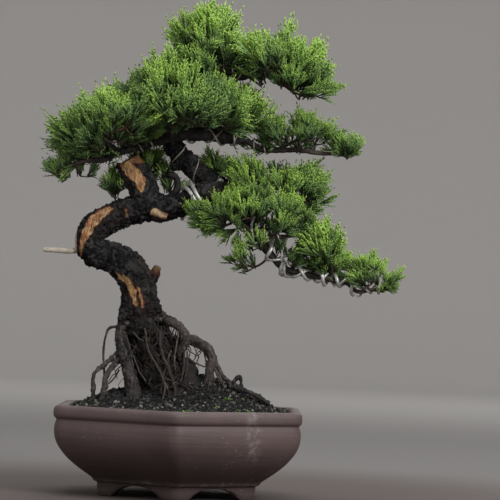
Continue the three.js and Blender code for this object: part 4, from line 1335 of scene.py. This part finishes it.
def tufts_of(node, settings, rng):
    """Where each tuft of a cushion is rooted, which way it points, its size and its tone."""
    sunny = CUSHIONS[node][1]
    low, high = (np.array(v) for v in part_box(node))
    middle = (low + high) / 2
    size = high - low
    heart = middle - [0, 0, size[2] * 0.42]
    small = size.min() < 34 * MM
    spacing, clear = (settings.tuft_spacing * 0.75, 1 * MM) if small else (settings.tuft_spacing, 6.5 * MM)
    spots, ways = skin_samples(node, spacing, clear, rng)
    out = unit((spots - heart) / np.maximum(size, 0.02))
    depth = max(min(0.42 * size.min(), 0.88 * settings.length), 0.42 * settings.length)
    way = unit((0.3 * ways + 0.7 * out) * [1, 0.5, 1] + [0, 0, 0.45])
    # A spray that runs along the skin starts near it, and one that points out starts deep inside.
    align = (ways * way).sum(1)
    sink = (depth * np.interp(align, [-0.2, 0.6], [0.25, 1.0]))[:, None]
    under = ways[:, 2] < -0.25
    chance = np.where(under, 0.35, 0.88) * CUSHIONS[node][2]
    keep = rng.random(len(spots)) < chance
    lift = (spots[:, 2] - low[2]) / size[2]
    patch = waves(spots, 0.028, 2, 4.0)
    front_light = 0.12 * (ways[:, 2] - 0.2)
    # The tone is painted light and shade: it rises towards the cushion's top and on upward-facing skin, and
    # drops on the underside.
    tone = sunny * (0.28 + 0.82 * lift) + 0.8 * patch + front_light - 0.25 * under
    # The cushion's edge is uneven: some tufts stand out of it and others fall short.
    reach = (depth - 0.5 * MM) / settings.length * (1.0 + 0.7 * waves(spots, 0.022, 2, 9.0))
    reach = np.maximum(reach, 0.62) if small else reach
    reach *= np.interp(align, [-0.2, 0.6], [0.74, 1.0])
    layers = [np.column_stack([spots - way * sink, way, reach, tone])[keep]]
    # A second layer fills the cushion behind its skin, darker as painted shade.
    inner = rng.random(len(spots)) < 0.45 * CUSHIONS[node][2]
    layers.append(np.column_stack([spots - way * sink * 1.3, way, reach * 0.9, tone * 0.3])[inner])
    if node in FANS:
        fans = np.array(FANS[node], float)
        start, stop = (placed(np.column_stack([fans[:, k:k + 3], fans[:, :1]]))[:, :3] for k in (0, 3))
        far = np.linalg.norm(stop - start, axis=1)
        layers.append(np.column_stack([start, unit(stop - start), far / settings.length, sunny + 0 * far]))
    return np.vstack(layers)


def make_sprays(name, tufts, settings, patterns, rng):
    """The sprays of some tufts, as one piece."""
    heap_points, heap_faces, heap_places = [], [], []
    count = 0
    base = np.repeat(tufts, settings.sprays, axis=0)
    way = unit(base[:, 3:6] + rng.normal(0, 0.28, (len(base), 3)))
    root = base[:, :3] + rng.normal(0, 1.6 * MM, (len(base), 3))
    root = root + way * rng.uniform(-1, 2, (len(base), 1)) * MM
    size = base[:, 6] * rng.uniform(0.70, 1.14, len(base))
    tone = (base[:, 7] + rng.normal(0, 0.17, len(base))).clip(0.02, 0.96)
    roll = rng.uniform(0, 2 * np.pi, len(base))
    kind = rng.integers(0, len(patterns), len(base))
    side = unit(np.cross(way, unit(rng.normal(size=way.shape))))
    beside = np.cross(way, side)
    across = side * np.cos(roll)[:, None] + beside * np.sin(roll)[:, None]
    turns = np.stack([across, np.cross(way, across), way], -1)
    for k, (points, faces, along, edge) in enumerate(patterns):
        mine = kind == k
        stretch = np.column_stack([size ** 0.5, size ** 0.5, size])[mine, None]
        shapes = np.einsum("nij,kj->nki", turns[mine] * stretch, points) + root[mine, None]
        number = int(mine.sum())
        heap_points.append(shapes.reshape(-1, 3))
        starts = np.arange(number) * len(points) + count
        heap_faces.append((faces[None] + starts[:, None, None]).reshape(-1, 3))
        count += number * len(points)
        places = np.empty((number, len(points), 2))
        places[..., 0] = tone[mine, None] + 0.012 * edge
        places[..., 1] = along * 0.98 + 0.01
        heap_places.append(places.reshape(-1, 2))
    piece = new_object(name, np.vstack(heap_points), np.vstack(heap_faces))
    set_bake_map(piece.data, np.vstack(heap_places))
    return piece


def twigs_to(tufts, supports, heap, rng):
    """Fine wood that joins tufts to the branches, each tuft growing from the nearest wood so far."""
    routes = [route for name in supports for route in BRANCHES.get(name, [TRUNK])]
    lines = np.vstack([smooth_line(placed(route), 5) for route in routes])
    nodes = [*lines[:, :3]]
    cost = [0.0] * len(nodes)
    parents = [-1] * len(nodes)
    left = list(range(len(tufts)))
    apart = np.linalg.norm(tufts[:, None] - np.array(nodes)[None], axis=2)
    best_from = apart.argmin(1)
    best = apart.min(1)
    while left:
        k = left.pop(int(np.argmin(best[left])))
        parent = int(best_from[k])
        nodes.append(tufts[k])
        parents.append(parent)
        cost.append(cost[parent] + float(np.linalg.norm(nodes[parent] - tufts[k])))
        reach = np.linalg.norm(tufts - tufts[k], axis=1) + 0.3 * cost[-1]
        closer = reach < best
        best[closer] = reach[closer]
        best_from[closer] = len(nodes) - 1
    load = np.zeros(len(nodes))
    for k in range(len(nodes) - 1, -1, -1):
        if parents[k] >= 0:
            load[k] += 1
            load[parents[k]] += load[k]
    for k, parent in enumerate(parents):
        if parent < 0:
            continue
        start, stop = nodes[parent], nodes[k]
        far = np.linalg.norm(stop - start)
        bulge = (start + stop) / 2 + rng.normal(0, 0.12, 3) * far - [0, 0, 0.12 * far]
        t = np.linspace(0, 1, 5)[:, None]
        line = (1 - t) ** 2 * start + 2 * t * (1 - t) * bulge + t ** 2 * stop
        thick = min(0.42 + 0.30 * math.sqrt(load[k]), 2.2) * MM
        points, faces = tube(np.column_stack([line, np.linspace(thick, thick * 0.82, 5)]), 6)
        heap.add(points, faces, slim=1.0)


def make_weeds(rng):
    """Small green weeds and seedlings that have sown themselves in the grit."""
    heap = Heap()
    ball, faces = icosahedron()
    places = [(6, -84), (2, -88), (12, -80), (60, -62), (70, -58), (80, -54), (38, -52), (30, 74),
              (-60, 60), (-84, -30), (48, -30), (96, 20)]
    for x, y in places:
        level = soil_level(np.array([float(x)]), np.array([float(y)]))[0]
        for _ in range(9):
            turn = rng.uniform(0, 2 * np.pi)
            lean = rng.uniform(0.5, 1.3)
            way = np.array([math.cos(turn) * math.sin(lean), math.sin(turn) * math.sin(lean), math.cos(lean)])
            side = unit(np.cross(way, [0, 0, 1.0]))
            reach = rng.uniform(2.2, 5.0)
            leaf = (ball[:, :1] * reach / 2 + reach / 2) * way + ball[:, 1:2] * side * reach * 0.16
            leaf = leaf + ball[:, 2:3] * np.cross(way, side) * 0.22
            spot = np.array([x, y, level]) + rng.normal(0, 1.2, 3) * [1, 1, 0.2]
            heap.add((leaf + spot) * MM + POT_MIDDLE, faces)
    return from_heap("soil_weeds", heap)


# ---------------------------------------------------------------- operators


class BONSAI_OT_pot(bpy.types.Operator):
    """Make the fired clay pot and dress its drain nets"""
    bl_idname = "bonsai.pot"
    bl_label = "Pot"

    def execute(self, context):
        settings = context.scene.bonsai_pot
        piece = new_object("clay_pot", *make_pot_mesh(settings))
        drill_drains(piece)
        finished(piece, clay_finish(settings), "clay", "pot")
        net = net_finish()
        for name in ("drain_screen_left", "drain_screen_right"):
            screen = frame["nodes"][name]
            screen.data.materials.clear()
            screen.data.materials.append(net)
        return {"FINISHED"}


class BONSAI_OT_soil(bpy.types.Operator):
    """Make the soil with its loose grit and weeds"""
    bl_idname = "bonsai.soil"
    bl_label = "Soil"

    def execute(self, context):
        settings = context.scene.bonsai_soil
        finished(new_object("soil_bed", *make_soil_mesh()), soil_finish(), "soil", "soil")
        points, faces, places = make_grit_mesh(settings)
        grit = new_object("loose_grit", points, faces, smooth=False)
        set_bake_map(grit.data, places)
        finished(grit, grit_finish(), "soil")
        finished(make_weeds(np.random.default_rng(21)), weed_finish(), "foliage_tips")
        return {"FINISHED"}


class BONSAI_OT_trunk(bpy.types.Operator):
    """Make the trunk with its stripped wood, stub and snags"""
    bl_idname = "bonsai.trunk"
    bl_label = "Trunk"

    def execute(self, context):
        settings = context.scene.bonsai_wood
        finished(make_trunk(settings), bark_finish(settings), "bark", "trunk")
        return {"FINISHED"}


class BONSAI_OT_roots(bpy.types.Operator):
    """Make the exposed roots and the mat of fine roots"""
    bl_idname = "bonsai.roots"
    bl_label = "Roots"

    def execute(self, context):
        settings = context.scene.bonsai_wood
        finished(make_roots(settings), root_finish(), "root", *ROOTS)
        finished(make_tangle(settings), fibre_finish(), "root", "root_tangle")
        return {"FINISHED"}


class BONSAI_OT_branches(bpy.types.Operator):
    """Make the branches"""
    bl_idname = "bonsai.branches"
    bl_label = "Branches"

    def execute(self, context):
        bark = twig_finish()
        for seed, name in enumerate(BRANCHES):
            finished(make_branch(name, seed), bark, "twig", name)
        return {"FINISHED"}


class BONSAI_OT_wires(bpy.types.Operator):
    """Wind the training wire on the branches"""
    bl_idname = "bonsai.wires"
    bl_label = "Training wire"

    def execute(self, context):
        clean = wire_finish("aluminium_wire", (0.66, 0.66, 0.64), (0.42, 0.41, 0.39))
        old = wire_finish("weathered_wire", (0.44, 0.41, 0.37), (0.20, 0.175, 0.15))
        for name, windings in WINDINGS.items():
            heap = Heap()
            for winding in windings:
                coiled(heap, *winding)
            metal = clean if windings[0][4] > OLD_WIRE else old
            finished(from_heap(name + "_coil", heap), metal, "wire", name)
        return {"FINISHED"}


class BONSAI_OT_foliage(bpy.types.Operator):
    """Make the cushions of foliage and the twigs that carry them"""
    bl_idname = "bonsai.foliage"
    bl_label = "Foliage"

    def execute(self, context):
        settings = context.scene.bonsai_foliage
        patterns = [spray_pattern(seed, settings.length, settings.cord) for seed in range(SPRAY_KINDS)]
        leaf = foliage_finish()
        rng = np.random.default_rng(40)
        twigs = Heap()
        slots = {entry["node"]: entry["material_slot"] for entry in frame["record"]["subparts"]}
        most = MOST_TRIANGLES // (settings.sprays * len(patterns[0][1]))
        for seed, (node, (supports, _, _)) in enumerate(CUSHIONS.items()):
            shoots = np.random.default_rng(100 + seed)
            tufts = tufts_of(node, settings, shoots)
            parts = math.ceil(len(tufts) / most)
            order = np.argsort(tufts[:, 0])
            for part, rows in enumerate(np.array_split(order, parts)):
                name = f"{node}_shoots_{part + 1}"
                piece = make_sprays(name, tufts[rows], settings, patterns, shoots)
                finished(piece, leaf, slots[node], node)
            twigs_to(tufts[:, :3], supports, twigs, rng)
        finished(from_heap("fine_twigs", twigs), twig_finish(), "twig")
        return {"FINISHED"}


class BONSAI_OT_stage(bpy.types.Operator):
    """Set up the floor, the lights and the camera"""
    bl_idname = "bonsai.stage"
    bl_label = "Stage"

    def execute(self, context):
        settings = context.scene.bonsai_stage
        self.floor()
        self.lights(settings)
        self.camera(settings)
        return {"FINISHED"}

    def floor(self):
        """A round floor that curves up into a wall all the way round."""
        flat, curve, sides = 3.6, 1.4, 96
        bend = [[0.2, 0], [flat, 0]]
        bend += [[flat + curve * math.sin(a), curve - curve * math.cos(a)]
                 for a in np.linspace(0.1, math.pi / 2, 14)]
        bend.append([flat + curve, 4.2])
        turn = np.linspace(0, 2 * np.pi, sides, endpoint=False)
        rings = [np.column_stack([r * np.cos(turn), r * np.sin(turn), np.full(sides, z)]) for r, z in bend]
        points = np.vstack([*rings, [[0, 0, 0]]])
        middle = fan(np.arange(sides), len(points) - 1, True)
        faces = np.vstack([grid_faces(len(rings), sides), middle])[:, ::-1]
        floor = new_object("studio_floor", points, faces)
        floor.data.materials.append(floor_finish())

    def lights(self, settings):
        for name, spot, size, share in (
                ("key", (1.7, -1.9, 1.6), 1.4, 1.45), ("fill", (-2.0, -1.6, 1.2), 2.0, 0.25),
                ("top", (0.0, 0.2, 2.8), 2.0, 0.7), ("back", (0.6, 2.2, 1.8), 1.8, 0.3)):
            lamp = bpy.data.lights.new(name, "AREA")
            lamp.shape = "DISK"
            lamp.size = size
            lamp.energy = settings.key_power * share
            light = bpy.data.objects.new(name, lamp)
            light.location = spot
            aim = Vector((0, 0, 0.25)) - Vector(spot)
            light.rotation_euler = aim.to_track_quat("-Z", "Y").to_euler()
            bpy.context.scene.collection.objects.link(light)
        world = bpy.data.worlds.new("soft_sky")
        world.use_nodes = True
        sky = world.node_tree.nodes["Background"]
        sky.inputs["Color"].default_value = (0.93, 0.96, 1.0, 1.0)
        sky.inputs["Strength"].default_value = 0.45
        bpy.context.scene.world = world
        bpy.context.scene.view_settings.view_transform = "Standard"

    def camera(self, settings):
        lens = bpy.data.cameras.new("camera")
        lens.sensor_width = 36
        lens.lens = lens.sensor_width * settings.distance / FRAME_WIDTH
        camera = bpy.data.objects.new("camera", lens)
        camera.location = (POT_MIDDLE[0] + CAMERA_ASIDE, -settings.distance, settings.height)
        camera.rotation_euler = (math.pi / 2 + settings.pitch, settings.roll, 0)
        bpy.context.scene.collection.objects.link(camera)
        bpy.context.scene.camera = camera


class BONSAI_PT_panel(bpy.types.Panel):
    """Lists the parts of the bonsai in the order that they are made"""
    bl_idname = "BONSAI_PT_panel"
    bl_label = "Juniper bonsai"
    bl_space_type = "VIEW_3D"
    bl_region_type = "UI"
    bl_category = "Bonsai"

    def draw(self, context):
        for operator in OPERATORS:
            self.layout.operator(operator.bl_idname)
        for name in SETTINGS:
            group = getattr(context.scene, name)
            box = self.layout.box()
            for key in group.__annotations__:
                box.prop(group, key)


OPERATORS = (
    BONSAI_OT_stage, BONSAI_OT_pot, BONSAI_OT_soil, BONSAI_OT_roots, BONSAI_OT_trunk,
    BONSAI_OT_branches, BONSAI_OT_wires, BONSAI_OT_foliage,
)
SETTINGS = {
    "bonsai_pot": PotSettings,
    "bonsai_soil": SoilSettings,
    "bonsai_wood": WoodSettings,
    "bonsai_foliage": FoliageSettings,
    "bonsai_stage": StageSettings,
}


def register():
    for group in SETTINGS.values():
        bpy.utils.register_class(group)
    for name, group in SETTINGS.items():
        setattr(bpy.types.Scene, name, PointerProperty(type=group))
    for operator in OPERATORS:
        bpy.utils.register_class(operator)
    bpy.utils.register_class(BONSAI_PT_panel)


def unregister():
    bpy.utils.unregister_class(BONSAI_PT_panel)
    for operator in reversed(OPERATORS):
        bpy.utils.unregister_class(operator)
    for name in SETTINGS:
        delattr(bpy.types.Scene, name)
    for group in SETTINGS.values():
        bpy.utils.unregister_class(group)


def main():
    register()
    bpy.ops.bonsai.stage()
    bpy.ops.bonsai.pot()
    bpy.ops.bonsai.soil()
    bpy.ops.bonsai.roots()
    bpy.ops.bonsai.trunk()
    bpy.ops.bonsai.branches()
    bpy.ops.bonsai.wires()
    bpy.ops.bonsai.foliage()


if __name__ == "__main__":
    main()
